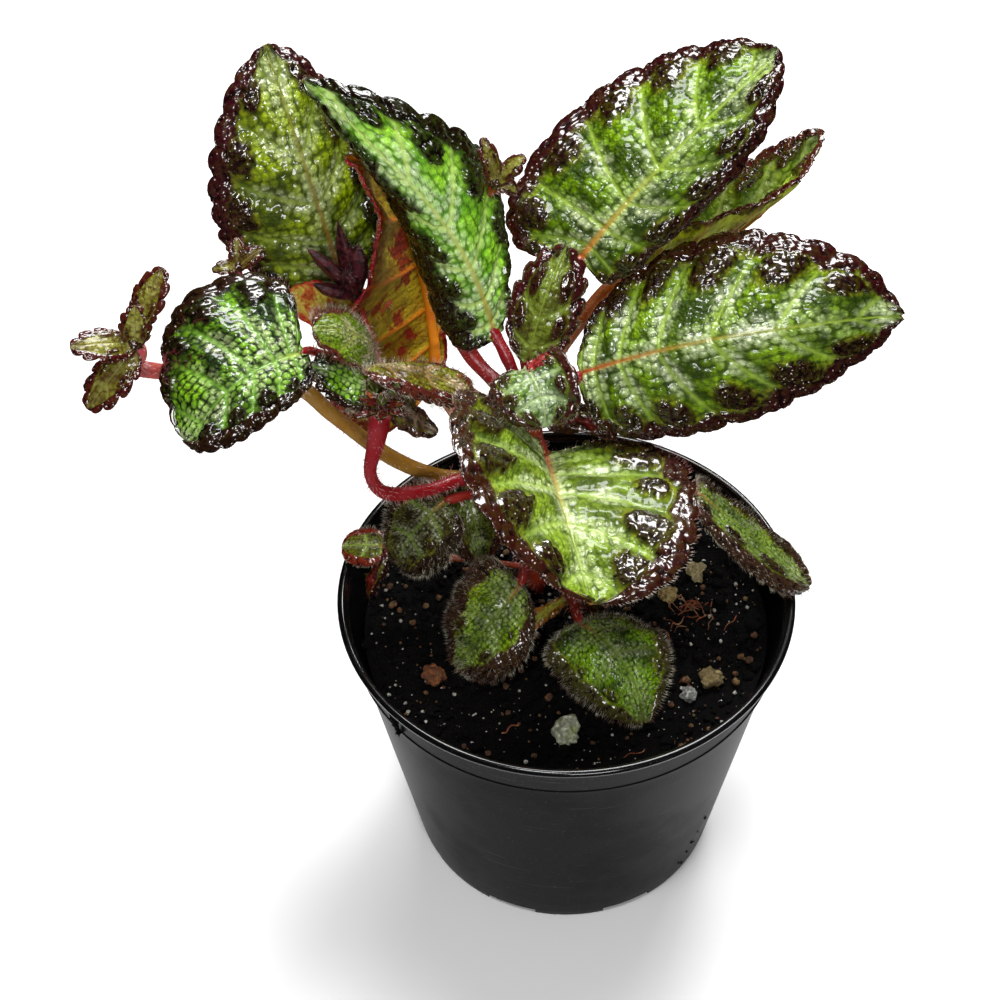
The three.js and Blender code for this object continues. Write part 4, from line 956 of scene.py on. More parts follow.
def add_blade_hairs(hairs, top, normal, count, length, rim_share, thickness=0.05):
    """Hairs on a blade, with a share of them along its margin."""
    rows, columns = top.shape[:2]
    middle = columns // 2
    roots, directions, lengths = [], [], []
    for _ in range(count):
        i = draw.randrange(1, rows - 1)
        on_rim = draw.random() < rim_share
        j = draw.choice((0, columns - 1)) if on_rim else draw.randrange(columns)
        outward = unit(top[i, j] - top[i, middle]) if j != middle else normal[i, j]
        share = 0.9 if on_rim else draw.uniform(-0.2, 0.3)
        wander = np.array([draw.uniform(-0.35, 0.35) for _ in range(3)])
        roots.append(top[i, j])
        directions.append(normal[i, j] * draw.uniform(0.5, 1.0) + outward * share + wander)
        lengths.append(length * draw.uniform(0.55, 1.2))
    add_hairs(hairs, roots, directions, lengths, thickness, 0.05)


class Nodes:
    """Adds and links the nodes of one tree."""

    def __init__(self, tree):
        self.tree = tree

    def add(self, kind, inputs=None, **settings):
        node = self.tree.nodes.new(kind)
        for key, value in settings.items():
            setattr(node, key, value)
        for key, value in (inputs or {}).items():
            self.put(node.inputs[key], value)
        return node

    def put(self, socket, value):
        if isinstance(value, bpy.types.NodeSocket):
            self.tree.links.new(value, socket)
        else:
            socket.default_value = value

    def mix(self, factor, first, second):
        """The first colour turning to the second."""
        node = self.add("ShaderNodeMix", data_type="RGBA")
        for index, value in ((0, factor), (6, first), (7, second)):
            self.put(node.inputs[index], value)
        return node.outputs[2]

    def maths(self, operation, first, second, clamp=False):
        inputs = {0: first, 1: second}
        return self.add("ShaderNodeMath", inputs, operation=operation, use_clamp=clamp).outputs[0]

    def times(self, first, second, clamp=False):
        return self.maths("MULTIPLY", first, second, clamp)

    def plus(self, first, second, clamp=False):
        return self.maths("ADD", first, second, clamp)

    def most(self, first, second):
        return self.maths("MAXIMUM", first, second)

    def ramp(self, value, low, high, start=0.0, stop=1.0):
        """A value between low and high stretched to run from start to stop."""
        inputs = dict(enumerate((value, low, high, start, stop)))
        return self.add("ShaderNodeMapRange", inputs, interpolation_type="SMOOTHSTEP").outputs[0]

    def mask(self, name):
        return self.add("ShaderNodeAttribute", attribute_name=name).outputs["Fac"]

    def place(self):
        return self.add("ShaderNodeTexCoord").outputs["Object"]

    def noise(self, scale, detail=3.0, rough=0.55):
        return self.add("ShaderNodeTexNoise", {
            "Vector": self.place(), "Scale": scale, "Detail": detail, "Roughness": rough}).outputs["Fac"]

    def cells(self, scale):
        return self.add("ShaderNodeTexVoronoi", {"Vector": self.place(), "Scale": scale}).outputs["Distance"]


def new_group(name, inputs, outputs):
    """An empty node group with named sockets: (name, kind, value) inputs and (name, kind) outputs."""
    tree = bpy.data.node_groups.new(name, "ShaderNodeTree")
    for title, kind, value in inputs:
        socket = tree.interface.new_socket(title, in_out="INPUT", socket_type="NodeSocket" + kind)
        socket.default_value = value
    for title, kind in outputs:
        tree.interface.new_socket(title, in_out="OUTPUT", socket_type="NodeSocket" + kind)
    nodes = Nodes(tree)
    return tree, nodes, nodes.add("NodeGroupInput").outputs, nodes.add("NodeGroupOutput")


def skin_group():
    """Small uneven domes all over a blade: their height, the spots at their tops where glints are painted,
    and the grooves between them, where shade is painted."""
    tree, nodes, given, result = new_group(
        "skin_domes", [("Per metre", "Float", 1000.0), ("Grain", "Float", 0.12)],
        [("Height", "Float"), ("Tip", "Float"), ("Groove", "Float")])
    wander = nodes.add("ShaderNodeTexNoise", {"Vector": nodes.place(), "Scale": 700.0, "Detail": 2.0})
    shifted = nodes.add("ShaderNodeVectorMath", {
        0: wander.outputs["Color"], 1: (DOME_WANDER * MM,) * 3, 2: nodes.place()},
        operation="MULTIPLY_ADD")
    spot = nodes.add("ShaderNodeTexVoronoi", {"Vector": shifted.outputs[0], "Scale": given["Per metre"]})
    distance = spot.outputs["Distance"]
    dome = nodes.ramp(distance, 0.0, 0.75, 1.0, 0.0)
    nodes.put(result.inputs["Height"], nodes.plus(dome, nodes.times(nodes.noise(3200.0), given["Grain"])))
    nodes.put(result.inputs["Tip"], nodes.ramp(distance, 0.12, 0.36, 1.0, 0.0))
    nodes.put(result.inputs["Groove"], nodes.ramp(distance, 0.4, 0.7))
    return tree


def green_part(nodes, given, broad, fine):
    """The blade's green with its halo, its silver band with a painted highlight, its net and side veins,
    painted shade between the domes and painted glints on their tops.
    """
    colour = nodes.mix(broad, given["Deep green"], given["Green"])
    colour = nodes.mix(nodes.times(nodes.mask("halo"), 0.75), colour, given["Halo"])
    # The silver is partly a pale band by the veins and partly a painted highlight on the dome tops.
    silver = nodes.times(nodes.mask("silver"), given["Silver strength"])
    silver = nodes.times(silver, nodes.ramp(fine, 0.0, 1.0, 0.6, 1.1), True)
    colour = nodes.mix(silver, colour, given["Silver"])
    # Painted shade: the grooves and the low hollows between the domes turn towards deep green, less so in the
    # silver.
    colour = nodes.mix(nodes.times(given["Groove"], 0.3), colour, given["Deep green"])
    low = nodes.ramp(nodes.mask("low"), 0.4, 0.95, 0.0, 0.75)
    low = nodes.times(low, nodes.ramp(silver, 0.0, 1.0, 1.0, 0.35))
    colour = nodes.mix(low, colour, given["Deep green"])
    colour = nodes.mix(nodes.times(nodes.mask("net"), given["Net strength"]), colour, given["Net"])
    # Painted glints: pale spots on the tops of some domes, most of them in the silver.
    chosen = nodes.ramp(nodes.noise(900.0, 2.0), 0.46, 0.58, 0.0, 0.4)
    shiny = nodes.ramp(nodes.mask("silver"), 0.05, 0.7, 0.1, 1.0)
    tip = nodes.times(given["Tip"], nodes.times(chosen, shiny), True)
    colour = nodes.mix(tip, colour, given["Silver"])
    off_rim = nodes.maths("SUBTRACT", 1.0, nodes.times(nodes.mask("rim"), 0.9))
    return nodes.mix(nodes.times(nodes.times(nodes.mask("vein"), 0.7), off_rim), colour, given["Vein"])


def dark_part(nodes, given, colour, raised, fine):
    """Dark patches and the dark rim laid over the green, with painted shadow between the beads and painted
    glints on them.
    """
    patch = nodes.times(nodes.mask("patch"), nodes.ramp(fine, 0.0, 1.0, 0.85, 1.0))
    rim = nodes.times(nodes.mask("rim"), nodes.ramp(fine, 0.0, 1.0, 0.94, 1.0))
    dark = nodes.mix(rim, nodes.mix(patch, colour, given["Patch"]), given["Rim"])
    shadow = nodes.ramp(nodes.mask("bead"), 0.35, 0.75, 0.75, 0.0)
    dark = nodes.mix(nodes.times(shadow, raised), dark, BEAD_SHADOW)
    # Painted glints: small pale dots on some of the raised beads.
    painted_glints = nodes.ramp(nodes.cells(760.0), 0.12, 0.22, 1.0, 0.0)
    chosen = nodes.ramp(nodes.noise(500.0, 2.0), 0.44, 0.56, 0.05, 0.8)
    return nodes.mix(nodes.times(nodes.times(painted_glints, raised), chosen), dark, given["Bead tip"])


def lower_side(nodes, given, broad):
    """The underside: its blush, red blotches, dark net and ribs."""
    colour = nodes.mix(broad, given["Underside"], given["Underside blush"])
    red = nodes.ramp(nodes.noise(90.0, 4.0, 0.7), 0.52, 0.6, 0.0, 0.9)
    colour = nodes.mix(nodes.most(red, nodes.mask("rim")), colour, given["Patch"])
    colour = nodes.mix(nodes.times(nodes.mask("net"), 0.55), colour, given["Underside net"])
    return nodes.mix(nodes.times(nodes.mask("vein"), 0.85), colour, given["Midrib"])


def blade_group():
    """Colour, roughness and gloss of a blade from its masks."""
    inputs = [(name, "Color", (0.5, 0.5, 0.5, 1.0)) for name in LEAF_COLOURS]
    inputs += [("Net strength", "Float", 0.2), ("Silver strength", "Float", 0.8),
               ("Sheen", "Float", 0.42), ("Tip", "Float", 0.0), ("Groove", "Float", 0.0)]
    tree, nodes, given, result = new_group(
        "blade_colours", inputs, [("Colour", "Color"), ("Roughness", "Float"), ("Gloss", "Float")])
    broad = nodes.ramp(nodes.noise(110.0, 4.0), 0.36, 0.62)
    fine = nodes.ramp(nodes.noise(800.0, 2.0), 0.38, 0.64)
    raised = nodes.most(nodes.mask("rim"), nodes.mask("patch"))
    colour = dark_part(nodes, given, green_part(nodes, given, broad, fine), raised, fine)
    colour = nodes.mix(nodes.mask("midrib"), colour, given["Midrib"])
    colour = nodes.mix(nodes.mask("under"), colour, lower_side(nodes, given, broad))
    nodes.put(result.inputs["Colour"], colour)
    rough = nodes.plus(nodes.ramp(raised, 0.0, 1.0, 0.4, 0.26), nodes.times(fine, 0.08))
    nodes.put(result.inputs["Roughness"], nodes.most(rough, nodes.times(nodes.mask("under"), 0.55)))
    above = nodes.maths("SUBTRACT", 1.0, nodes.mask("under"))
    nodes.put(result.inputs["Gloss"], nodes.times(nodes.ramp(raised, 0.0, 1.0, given["Sheen"], 1.0), above))
    return tree


SKIN = skin_group()
BLADE_COLOURS = blade_group()


def new_finish(name, **plain):
    """A material with its node maker and its Principled surface. Plain values are set on the surface,
    named with underscores for spaces."""
    finish = bpy.data.materials.new(name)
    finish.use_nodes = True
    surface = finish.node_tree.nodes["Principled BSDF"]
    for key, value in plain.items():
        surface.inputs[key.replace("_", " ")].default_value = value
    return finish, Nodes(finish.node_tree), surface


def dress(nodes, surface, colour, rough):
    nodes.put(surface.inputs["Base Color"], colour)
    nodes.put(surface.inputs["Roughness"], rough)


def add_bump(nodes, surface, height, depth):
    """Fine relief of a finish, its depth in metres."""
    bump = nodes.add("ShaderNodeBump", {"Height": height, "Strength": 1.0, "Distance": depth})
    nodes.put(surface.inputs["Normal"], bump.outputs["Normal"])


def blade_finish(name, colours, net=0.35, silver=0.7, sheen=0.42, domes=1000.0, depth=0.0003):
    """A leaf's skin: its own colours in the shared blade pattern."""
    finish, nodes, surface = new_finish(
        name, Coat_Roughness=0.13, Coat_IOR=1.7, Specular_IOR_Level=0.16)
    skin = nodes.add("ShaderNodeGroup", {"Per metre": domes}, node_tree=SKIN)
    pattern = nodes.add("ShaderNodeGroup", {
        **colours, "Net strength": net, "Silver strength": silver, "Sheen": sheen,
        "Tip": skin.outputs["Tip"], "Groove": skin.outputs["Groove"]}, node_tree=BLADE_COLOURS)
    dress(nodes, surface, pattern.outputs["Colour"], pattern.outputs["Roughness"])
    nodes.put(surface.inputs["Coat Weight"], pattern.outputs["Gloss"])
    plain = nodes.most(nodes.mask("vein"), nodes.most(nodes.mask("rim"), nodes.mask("patch")))
    smooth = nodes.ramp(plain, 0.2, 0.9, 1.0, 0.12)
    add_bump(nodes, surface, nodes.times(skin.outputs["Height"], smooth), depth)
    return finish


def leaf_colours(changes):
    """The common leaf colours with some of them changed, named with underscores for spaces."""
    changed = {key.replace("_", " "): value for key, value in changes.items()}
    return {key: shade(*value) for key, value in {**LEAF_COLOURS, **changed}.items()}


def blade_finishes():
    """A finish for every leaf with its own greens and reds."""
    return {name: blade_finish(name + "_skin", leaf_colours(shades), **SKIN_TRAITS.get(name, {}))
            for name, shades in LEAF_SHADES.items()}


def stem_finish(name, red, tan, pink):
    """A succulent stalk: red to tan along its length with pale streaks and fine bumps."""
    finish, nodes, surface = new_finish(
        name, Coat_Weight=0.3, Coat_Roughness=0.2, Subsurface_Weight=0.06,
        Subsurface_Radius=(0.002, 0.0006, 0.0004), Subsurface_Scale=1.0)
    streak = nodes.ramp(nodes.noise(240.0, 4.0, 0.6), 0.35, 0.7)
    colour = nodes.mix(nodes.times(streak, 0.2), nodes.mix(nodes.mask("tan"), red, tan), pink)
    dress(nodes, surface, colour, nodes.ramp(streak, 0.0, 1.0, 0.3, 0.46))
    skin = nodes.add("ShaderNodeGroup", {"Per metre": 900.0}, node_tree=SKIN)
    add_bump(nodes, surface, skin.outputs["Height"], 0.0001)
    return finish


def hair_finish(name, light, dark):
    """Fine plant hair, paler and darker from tuft to tuft."""
    finish, nodes, surface = new_finish(name)
    colour = nodes.mix(nodes.ramp(nodes.noise(130.0), 0.4, 0.62), dark, light)
    dress(nodes, surface, colour, nodes.ramp(nodes.noise(900.0), 0.3, 0.7, 0.3, 0.5))
    return finish


def soil_finish(name, deep, clod, fleck):
    """Moist potting soil: near black with brown clods, fibre and pale flecks."""
    finish, nodes, surface = new_finish(name, Specular_IOR_Level=0.15)
    clods = nodes.ramp(nodes.noise(420.0, 6.0, 0.7), 0.48, 0.72)
    speck = nodes.ramp(nodes.cells(900.0), 0.1, 0.19, 1.0, 0.0)
    chosen = nodes.ramp(nodes.noise(600.0, 1.0), 0.62, 0.68)
    colour = nodes.mix(nodes.times(speck, chosen), nodes.mix(clods, deep, clod), fleck)
    dress(nodes, surface, colour, nodes.ramp(nodes.noise(1500.0), 0.35, 0.65, 0.5, 0.95))
    crumbs = nodes.plus(nodes.noise(900.0, 8.0, 0.75), nodes.times(clods, 0.5))
    add_bump(nodes, surface, crumbs, 0.0012)
    return finish


def stone_finish(name, light, dark, moss, moss_share):
    """A rough little stone with darker pits and a stain. Its colours are given as on screen."""
    finish, nodes, surface = new_finish(name)
    pits = nodes.ramp(nodes.noise(900.0, 6.0, 0.7), 0.38, 0.62)
    stain = nodes.ramp(nodes.noise(300.0, 3.0), 0.5, 0.64, 0.0, moss_share)
    colour = nodes.mix(stain, nodes.mix(pits, shade(*dark), shade(*light)), shade(*moss))
    dress(nodes, surface, colour, nodes.ramp(pits, 0.0, 1.0, 0.6, 0.85))
    add_bump(nodes, surface, pits, 0.0003)
    return finish


def pot_finish(name):
    """Black moulded plastic with a faint grain, soft scuffs and dust, and more gloss on its collar
    and most on its lip."""
    finish, nodes, surface = new_finish(name, Specular_IOR_Level=0.06, Coat_Roughness=0.12)
    haze = nodes.ramp(nodes.noise(26.0, 5.0, 0.6), 0.4, 0.75)
    dust = nodes.ramp(nodes.noise(1400.0, 3.0), 0.64, 0.74)
    stretch = nodes.add("ShaderNodeMapping", {"Vector": nodes.place(), "Scale": (60.0, 60.0, 2400.0)})
    scratches = nodes.add("ShaderNodeTexNoise", {
        "Vector": stretch.outputs["Vector"], "Scale": 1.0, "Detail": 2.0})
    scuff = nodes.ramp(scratches.outputs["Fac"], 0.66, 0.74)
    wear = nodes.plus(nodes.times(dust, 0.25), nodes.times(scuff, 0.2), True)
    colour = nodes.mix(wear, nodes.mix(haze, shade(7, 7, 8), shade(12, 12, 14)), shade(110, 110, 112))
    dress(nodes, surface, colour, nodes.plus(nodes.ramp(haze, 0.0, 1.0, 0.4, 0.5), nodes.times(wear, 0.3)))
    height = nodes.add("ShaderNodeSeparateXYZ", {"Vector": nodes.place()}).outputs["Z"]
    foot, lip = POT_HEIGHT - COLLAR_HEIGHT, POT_HEIGHT - 2
    collar_gloss = nodes.ramp(height, (foot - 0.2) * MM, (foot + 0.6) * MM, 0.03, 0.18)
    lip_gloss = nodes.ramp(height, (lip - 1.5) * MM, lip * MM)
    nodes.put(surface.inputs["Coat Weight"], nodes.most(collar_gloss, lip_gloss))
    add_bump(nodes, surface, nodes.noise(1800.0, 4.0), 0.00003)
    return finish


def wall_radius(z):
    """Outer radius of the pot's wall at a height."""
    return BASE_RADIUS + (RIM_RADIUS - 2 - BASE_RADIUS) * z / POT_HEIGHT


SOIL_EDGE = wall_radius(SOIL_LEVEL) - WALL - 0.5


def round_profile():
    """Outline of the pot's wall from the middle of its base round the rim to its inner floor."""
    foot = POT_HEIGHT - COLLAR_HEIGHT
    slim = wall_radius(foot)
    wide = slim + COLLAR_STEP
    floor = FOOT_RISE + WALL
    middle = RIM_RADIUS - 0.5 * RIM_WIDTH
    outer = [(0, 0), (20, 0), (36, 0), (BASE_RADIUS - 0.9, 0), (BASE_RADIUS - 0.25, 0.25), (BASE_RADIUS, 0.9)]
    outer += [(wall_radius(z), z) for z in np.linspace(3, foot - 0.6, 16)]
    outer += [(slim, foot - 0.2), (slim + 0.35, foot + 0.1), (wide + 0.2, foot + 0.5),
              (wide + 0.25, foot + 0.9), (wide, foot + 1.3), (wide + 0.2, POT_HEIGHT - 5),
              (RIM_RADIUS - 0.9, POT_HEIGHT - 2.5)]
    lip = []
    for angle in np.radians(np.linspace(-60, 200, 12)):
        lip.append((middle + 0.5 * RIM_WIDTH * math.cos(angle), POT_HEIGHT - 1.1 + 1.1 * math.sin(angle)))
    inner = [(RIM_RADIUS - 2.9, POT_HEIGHT - 2.4), (RIM_RADIUS - 3.2, POT_HEIGHT - 4.5), (slim - 0.9, foot),
             (wall_radius(60) - WALL, 60), (wall_radius(30) - WALL, 30), (BASE_RADIUS - WALL, floor + 1),
             (BASE_RADIUS - WALL - 1, floor), (30, floor), (0, floor)]
    return outer + lip + inner


def lathe(form, profile, segments):
    """A closed round body from an outline that starts and ends on the axis."""
    angles = 2 * np.pi * np.arange(segments) / segments
    points = [(0, 0, profile[0][1])]
    for radius, z in profile[1:-1]:
        points += [(radius * math.cos(a), radius * math.sin(a), z) for a in angles]
    points.append((0, 0, profile[-1][1]))
    last = len(points) - 1
    top = last - segments
    faces = []
    for i in range(segments):
        j = (i + 1) % segments
        faces += [(0, 1 + j, 1 + i), *column_faces(i, 1, top, segments), (last, top + i, top + j)]
    form.add(points, faces)


def cut_away(piece, form):
    """Takes the bodies of a form out of a piece for good."""
    cutter = add_object("cutter", form.mesh("cutter"))
    change = piece.modifiers.new("cut", "BOOLEAN")
    change.operation = "DIFFERENCE"
    change.solver = "EXACT"
    change.object = cutter
    graph = bpy.context.evaluated_depsgraph_get()
    cut = bpy.data.meshes.new_from_object(piece.evaluated_get(graph))
    piece.modifiers.clear()
    spent = [piece.data, cutter.data]
    piece.data = cut
    bpy.data.objects.remove(cutter)
    for mesh in spent:
        bpy.data.meshes.remove(mesh)
    cut.shade_smooth()
    cut.set_sharp_from_angle(angle=math.radians(32))


def box_body(form, size, at, angle):
    """A box with its sides turned about the pot's axis."""
    corners = []
    for x in (-0.5, 0.5):
        for y in (-0.5, 0.5):
            for z in (-0.5, 0.5):
                px, py = at + x * size[0], y * size[1]
                corners.append((
                    px * math.cos(angle) - py * math.sin(angle),
                    px * math.sin(angle) + py * math.cos(angle), z * size[2]))
    faces = [(0, 1, 3, 2), (4, 6, 7, 5), (0, 4, 5, 1), (2, 3, 7, 6), (0, 2, 6, 4), (1, 5, 7, 3)]
    form.add(corners, faces)


def make_pot():
    """The nursery pot with its stepped foot and a drain hole at each step."""
    body, steps, drains = Form(), Form(), Form()
    lathe(body, round_profile(), POT_SEGMENTS)
    pot = show(body, "nursery_pot", pot_finish("black_pot_plastic"), ["pot"])
    for number in range(FOOT_STEPS):
        angle = (number + 0.5) * 2 * math.pi / FOOT_STEPS
        box_body(steps, (*FOOT_STEP_SIZE, 2 * FOOT_RISE), BASE_RADIUS, angle)
        x, y = DRAIN_CIRCLE * math.cos(angle), DRAIN_CIRCLE * math.sin(angle)
        curve = np.array([(x, y, z) for z in np.linspace(-3, 9, 4)])
        add_tube(drains, curve, DRAIN_RADIUS, 24)
    cut_away(pot, steps)
    cut_away(pot, drains)


def soil_height(x, y):
    """Height of the soil's surface."""
    swell = 1.6 * noise.noise(Vector((x * 0.035, y * 0.035, 2.0)))
    clods = 1.1 * noise.fractal(Vector((x * 0.22, y * 0.22, 5.0)), 0.8, 2.1, 4)
    return SOIL_LEVEL + swell + clods


def soil_spot(share):
    """A place drawn at random on the soil, within a share of its radius."""
    radius = SOIL_EDGE * math.sqrt(draw.random()) * share
    angle = draw.uniform(0, 2 * math.pi)
    return radius * math.cos(angle), radius * math.sin(angle)


def make_soil():
    """Soil up to its uneven top, and loose clods on it, at the rim and on the pot's wall."""
    body, clods = Form(), Form()
    profile = [(0, FOOT_RISE + WALL + 0.3), (BASE_RADIUS - WALL - 1.3, FOOT_RISE + WALL + 0.3)]
    profile += [(SOIL_EDGE * (k / SOIL_RINGS) ** 0.75, SOIL_LEVEL) for k in range(SOIL_RINGS, 0, -1)]
    lathe(body, profile + [(0, SOIL_LEVEL)], SOIL_SEGMENTS)
    points = body.points[0]
    for k, (x, y, z) in enumerate(points):
        if z == SOIL_LEVEL:
            rise = soil_height(x, y) - SOIL_LEVEL
            points[k, 2] = z + rise * (1 if math.hypot(x, y) < SOIL_EDGE - 0.5 else 0.3)
    dark = soil_finish("potting_soil", shade(1, 1, 1), shade(22, 14, 9), shade(206, 198, 176))
    show(body, "potting_soil", dark, ["soil"])
    for _ in range(CLODS):
        x, y = soil_spot(0.985)
        size = draw.uniform(0.45, 1.0) if draw.random() < 0.85 else draw.uniform(1.0, 1.9)
        at = (x, y, soil_height(x, y) + 0.3 * size)
        flat, seed = draw.uniform(0.5, 0.9), draw.uniform(0, 90)
        add_lump(clods, at, size, detail=1 if size > 0.9 else 0, rough=0.8, seed=seed, flat=flat)
    for at, size in RIM_CRUMBS:
        add_lump(clods, at, size, detail=1, rough=1.3, seed=size * 40, flat=1.3)
    for height, turn in WALL_CRUMBS:
        radius = wall_radius(height)
        at = (radius * math.cos(turn), radius * math.sin(turn), height)
        add_lump(clods, at, draw.uniform(0.2, 0.45), detail=1, rough=1.2, seed=height, flat=0.7)
    show(clods, "soil_clods", dark)


def make_chips():
    """Perlite and bark scattered over the soil."""
    for name, chip in CHIPS.items():
        bits = Form()
        small, large = chip["size"]
        for _ in range(chip["count"]):
            x, y = soil_spot(0.97)
            size = small + (large - small) * draw.random() ** 2.5
            at = (x, y, soil_height(x, y) + 0.6 * size + 0.35)
            detail = 1 if size > 0.35 else 0
            add_lump(bits, at, size, detail, rough=0.5, seed=draw.uniform(0, 90), flat=0.8)
        show(bits, name + "_bits", stone_finish(name, *chip["colours"]))


def make_fibres():
    """Root fibres on the soil, half of them near the bark at the back right."""
    fibres = Form()
    for _ in range(FIBRES):
        if draw.random() < 0.5:
            x, y = draw.uniform(28, 37), draw.uniform(-2, 10)
        else:
            x, y = soil_spot(0.9)
        heading = draw.uniform(0, 2 * math.pi)
        path = []
        for _ in range(5):
            path.append((x, y, soil_height(x, y) + draw.uniform(0.4, 1.5)))
            heading += draw.uniform(-0.9, 0.9)
            step = draw.uniform(0.8, 1.9)
            x, y = x + step * math.cos(heading), y + step * math.sin(heading)
        add_tube(fibres, stalk_curve(path, 0.5), draw.uniform(0.1, 0.22), 5)
    rust = stone_finish("root_fibre", (176, 92, 52), (104, 54, 32), (190, 160, 120), 0.5)
    show(fibres, "root_fibres", rust)


def make_stones():
    for name, stone in STONES.items():
        body = Form()
        x, y, z = stone["at"]
        add_lump(body, (x, y, z + 0.6), stone["radius"], detail=3, rough=0.5, seed=x, flat=stone["flat"])
        show(body, name + "_body", stone_finish(name + "_grain", *stone["colours"]), [name])


def add_stalk(form, hairs, traits, tip_tan=None):
    """One stalk with slightly swollen ends, and its hairs."""
    curve = stalk_curve(traits["path"])
    count = len(curve)
    t = np.linspace(0, 1, count)
    radius = traits["radius"]
    swell = 1 + 0.06 * np.sin(7 * t * np.pi + radius) + 0.12 * np.exp(-((1 - t) / 0.08) ** 2)
    swell = swell * (1 + (traits["grow"] - 1) * smooth_step(0.72, 0.97, t))
    swell = swell * np.sqrt(1 - 0.9 * np.clip(1 - (1 - t) * count / 4, 0, 1) ** 2)
    tan = np.full(count, traits["tan"])
    if tip_tan is not None:
        tan = tan + (tip_tan - tan) * smooth_step(0.62, 0.86, t)
    add_tube(form, curve, radius * swell, 14, tan=tan)
    along, aside, above = tube_frames(curve)
    roots, directions, lengths = [], [], []
    for _ in range(int(traits["hairy"] * count * radius * 3.0)):
        k = draw.randrange(count)
        angle = draw.uniform(0, 2 * math.pi)
        out = math.cos(angle) * aside[k] + math.sin(angle) * above[k]
        roots.append(curve[k] + out * radius * 0.96)
        directions.append(out + draw.uniform(-0.4, 0.4) * along[k])
        lengths.append(draw.uniform(0.8, 2.1))
    add_hairs(hairs, roots, directions, lengths, 0.08)


def make_stems():
    """The red stem with every leaf stalk, and the tan runner that turns pink towards its end."""
    body, tan_body, hairs = Form(), Form(), Form()
    for traits in STALKS.values():
        add_stalk(body, hairs, traits)
    for at, radius, tan in STEM_LUMPS:
        add_lump(body, at, radius, detail=3, rough=0.35, seed=at[0], tan=tan)
    red = stem_finish("red_stem", shade(134, 4, 19), shade(184, 104, 28), shade(184, 64, 70))
    show(body, "red_stems", red, ["stems"])
    for traits in TAN_STALKS:
        add_stalk(tan_body, hairs, traits, tip_tan=0.0)
    tan = stem_finish("tan_runner", shade(190, 60, 84), shade(150, 108, 34), shade(190, 154, 76))
    show(tan_body, "tan_runner", tan, ["runner"])
    pale = hair_finish("stem_hair", shade(236, 206, 196), shade(200, 120, 120))
    show(hairs, "stem_hairs", pale)


def make_rosette(finishes):
    """The small leaves, bracts and buds that only the dressed model has."""
    hairs = Form()
    for name, finish, slot, leaves in ROSETTE_LEAVES:
        body = Form()
        for number, leaf in enumerate(leaves):
            blade = add_blade(body, leaf, ROSETTE_LOOK, ROSETTE_SEED + number, fineness=1.2)
            add_blade_hairs(hairs, *blade, count=60, length=1.8, rim_share=0.6)
        show(body, name, finishes[finish])
    pale = hair_finish("rosette_hair", shade(236, 216, 200), shade(170, 120, 110))
    show(hairs, "rosette_hairs", pale)


def make_leaves(finishes):
    hairs, soft_hairs = Form(), Form()
    for number, (name, leaf) in enumerate(LEAVES.items()):
        look, slot, count, length = LOOKS[name]
        body = Form()
        blade = add_blade(body, leaf, look, number + 1)
        show(body, name + "_blade", finishes[name], ["leaf_" + name])
        if slot == "hairy_leaf":
            add_blade_hairs(soft_hairs, *blade, count, length, rim_share=0.35)
        else:
            add_blade_hairs(hairs, *blade, count, length, rim_share=0.8)
    for number, (name, (leaf, colour)) in enumerate(LOOSE_LEAVES.items()):
        body = Form()
        blade = add_blade(body, leaf, LOOSE, LOOSE_SEED + number, fineness=1.4)
        slot = "dark_leaf" if colour == "dark_red" else "dry_leaf"
        show(body, name + "_blade", finishes[colour], [name])
        add_blade_hairs(hairs, *blade, count=90, length=0.9, rim_share=0.7)
    show(hairs, "leaf_hairs", hair_finish("rim_hair", shade(222, 206, 190), shade(150, 96, 90)))
    grey = hair_finish("soft_leaf_hair", shade(206, 200, 176), shade(110, 84, 72))
    show(soft_hairs, "soft_leaf_hairs", grey)


def make_plantlets(finishes):
    hairs = Form()
    for number, (name, (at, radius, leaves)) in enumerate(PLANTLETS.items()):
        body = Form()
        add_lump(body, at, radius, detail=2, rough=0.5, seed=number + 3, rim=0.8)
        for k, leaf in enumerate(leaves):
            blade = add_blade(body, leaf, YOUNG, YOUNG_SEED + 10 * number + k, fineness=1.3)
            add_blade_hairs(hairs, *blade, count=70, length=0.8, rim_share=0.7, thickness=0.045)
        show(body, name + "_shoot", finishes["plantlet"], [name])
    pink = hair_finish("plantlet_hair", shade(230, 200, 190), shade(190, 110, 110))
    show(hairs, "plantlet_hairs", pink)


def add_calyx_lobe(body, hairs, foot, tip, bend):
    """One ribbed, pointed lobe from the cup's foot, and its hairs."""
    t = np.linspace(0, 1, CALYX_ROWS)
    curve = foot + t[:, None] * (tip - foot) + (4 * t * (1 - t))[:, None] * np.array((0, 0, bend))
    radii = np.interp(t, [p[1] for p in CALYX_LOBE], [p[0] for p in CALYX_LOBE])
    angles = 2 * np.pi * np.arange(CALYX_SIDES) / CALYX_SIDES
    ribs = 1 + 0.08 * np.cos(5 * angles)
    points = tube_rings(
        curve, np.maximum(radii, 0.08), 1.25 * ribs * np.cos(angles), 0.75 * ribs * np.sin(angles))
    top = len(points) - CALYX_SIDES
    faces = [tuple(range(CALYX_SIDES))[::-1], tuple(range(top, len(points)))]
    for i in range(CALYX_SIDES):
        faces += column_faces(i, 0, top, CALYX_SIDES)
    body.add(points, faces)
    along, _, _ = tube_frames(curve)
    for _ in range(CALYX_HAIRS):
        k, i = draw.randrange(2, len(t) - 1), draw.randrange(CALYX_SIDES)
        root = points[k * CALYX_SIDES + i]
        add_hairs(hairs, [root], [root - curve[k] + 0.4 * along[k]], [draw.uniform(0.5, 1.1)], 0.045)


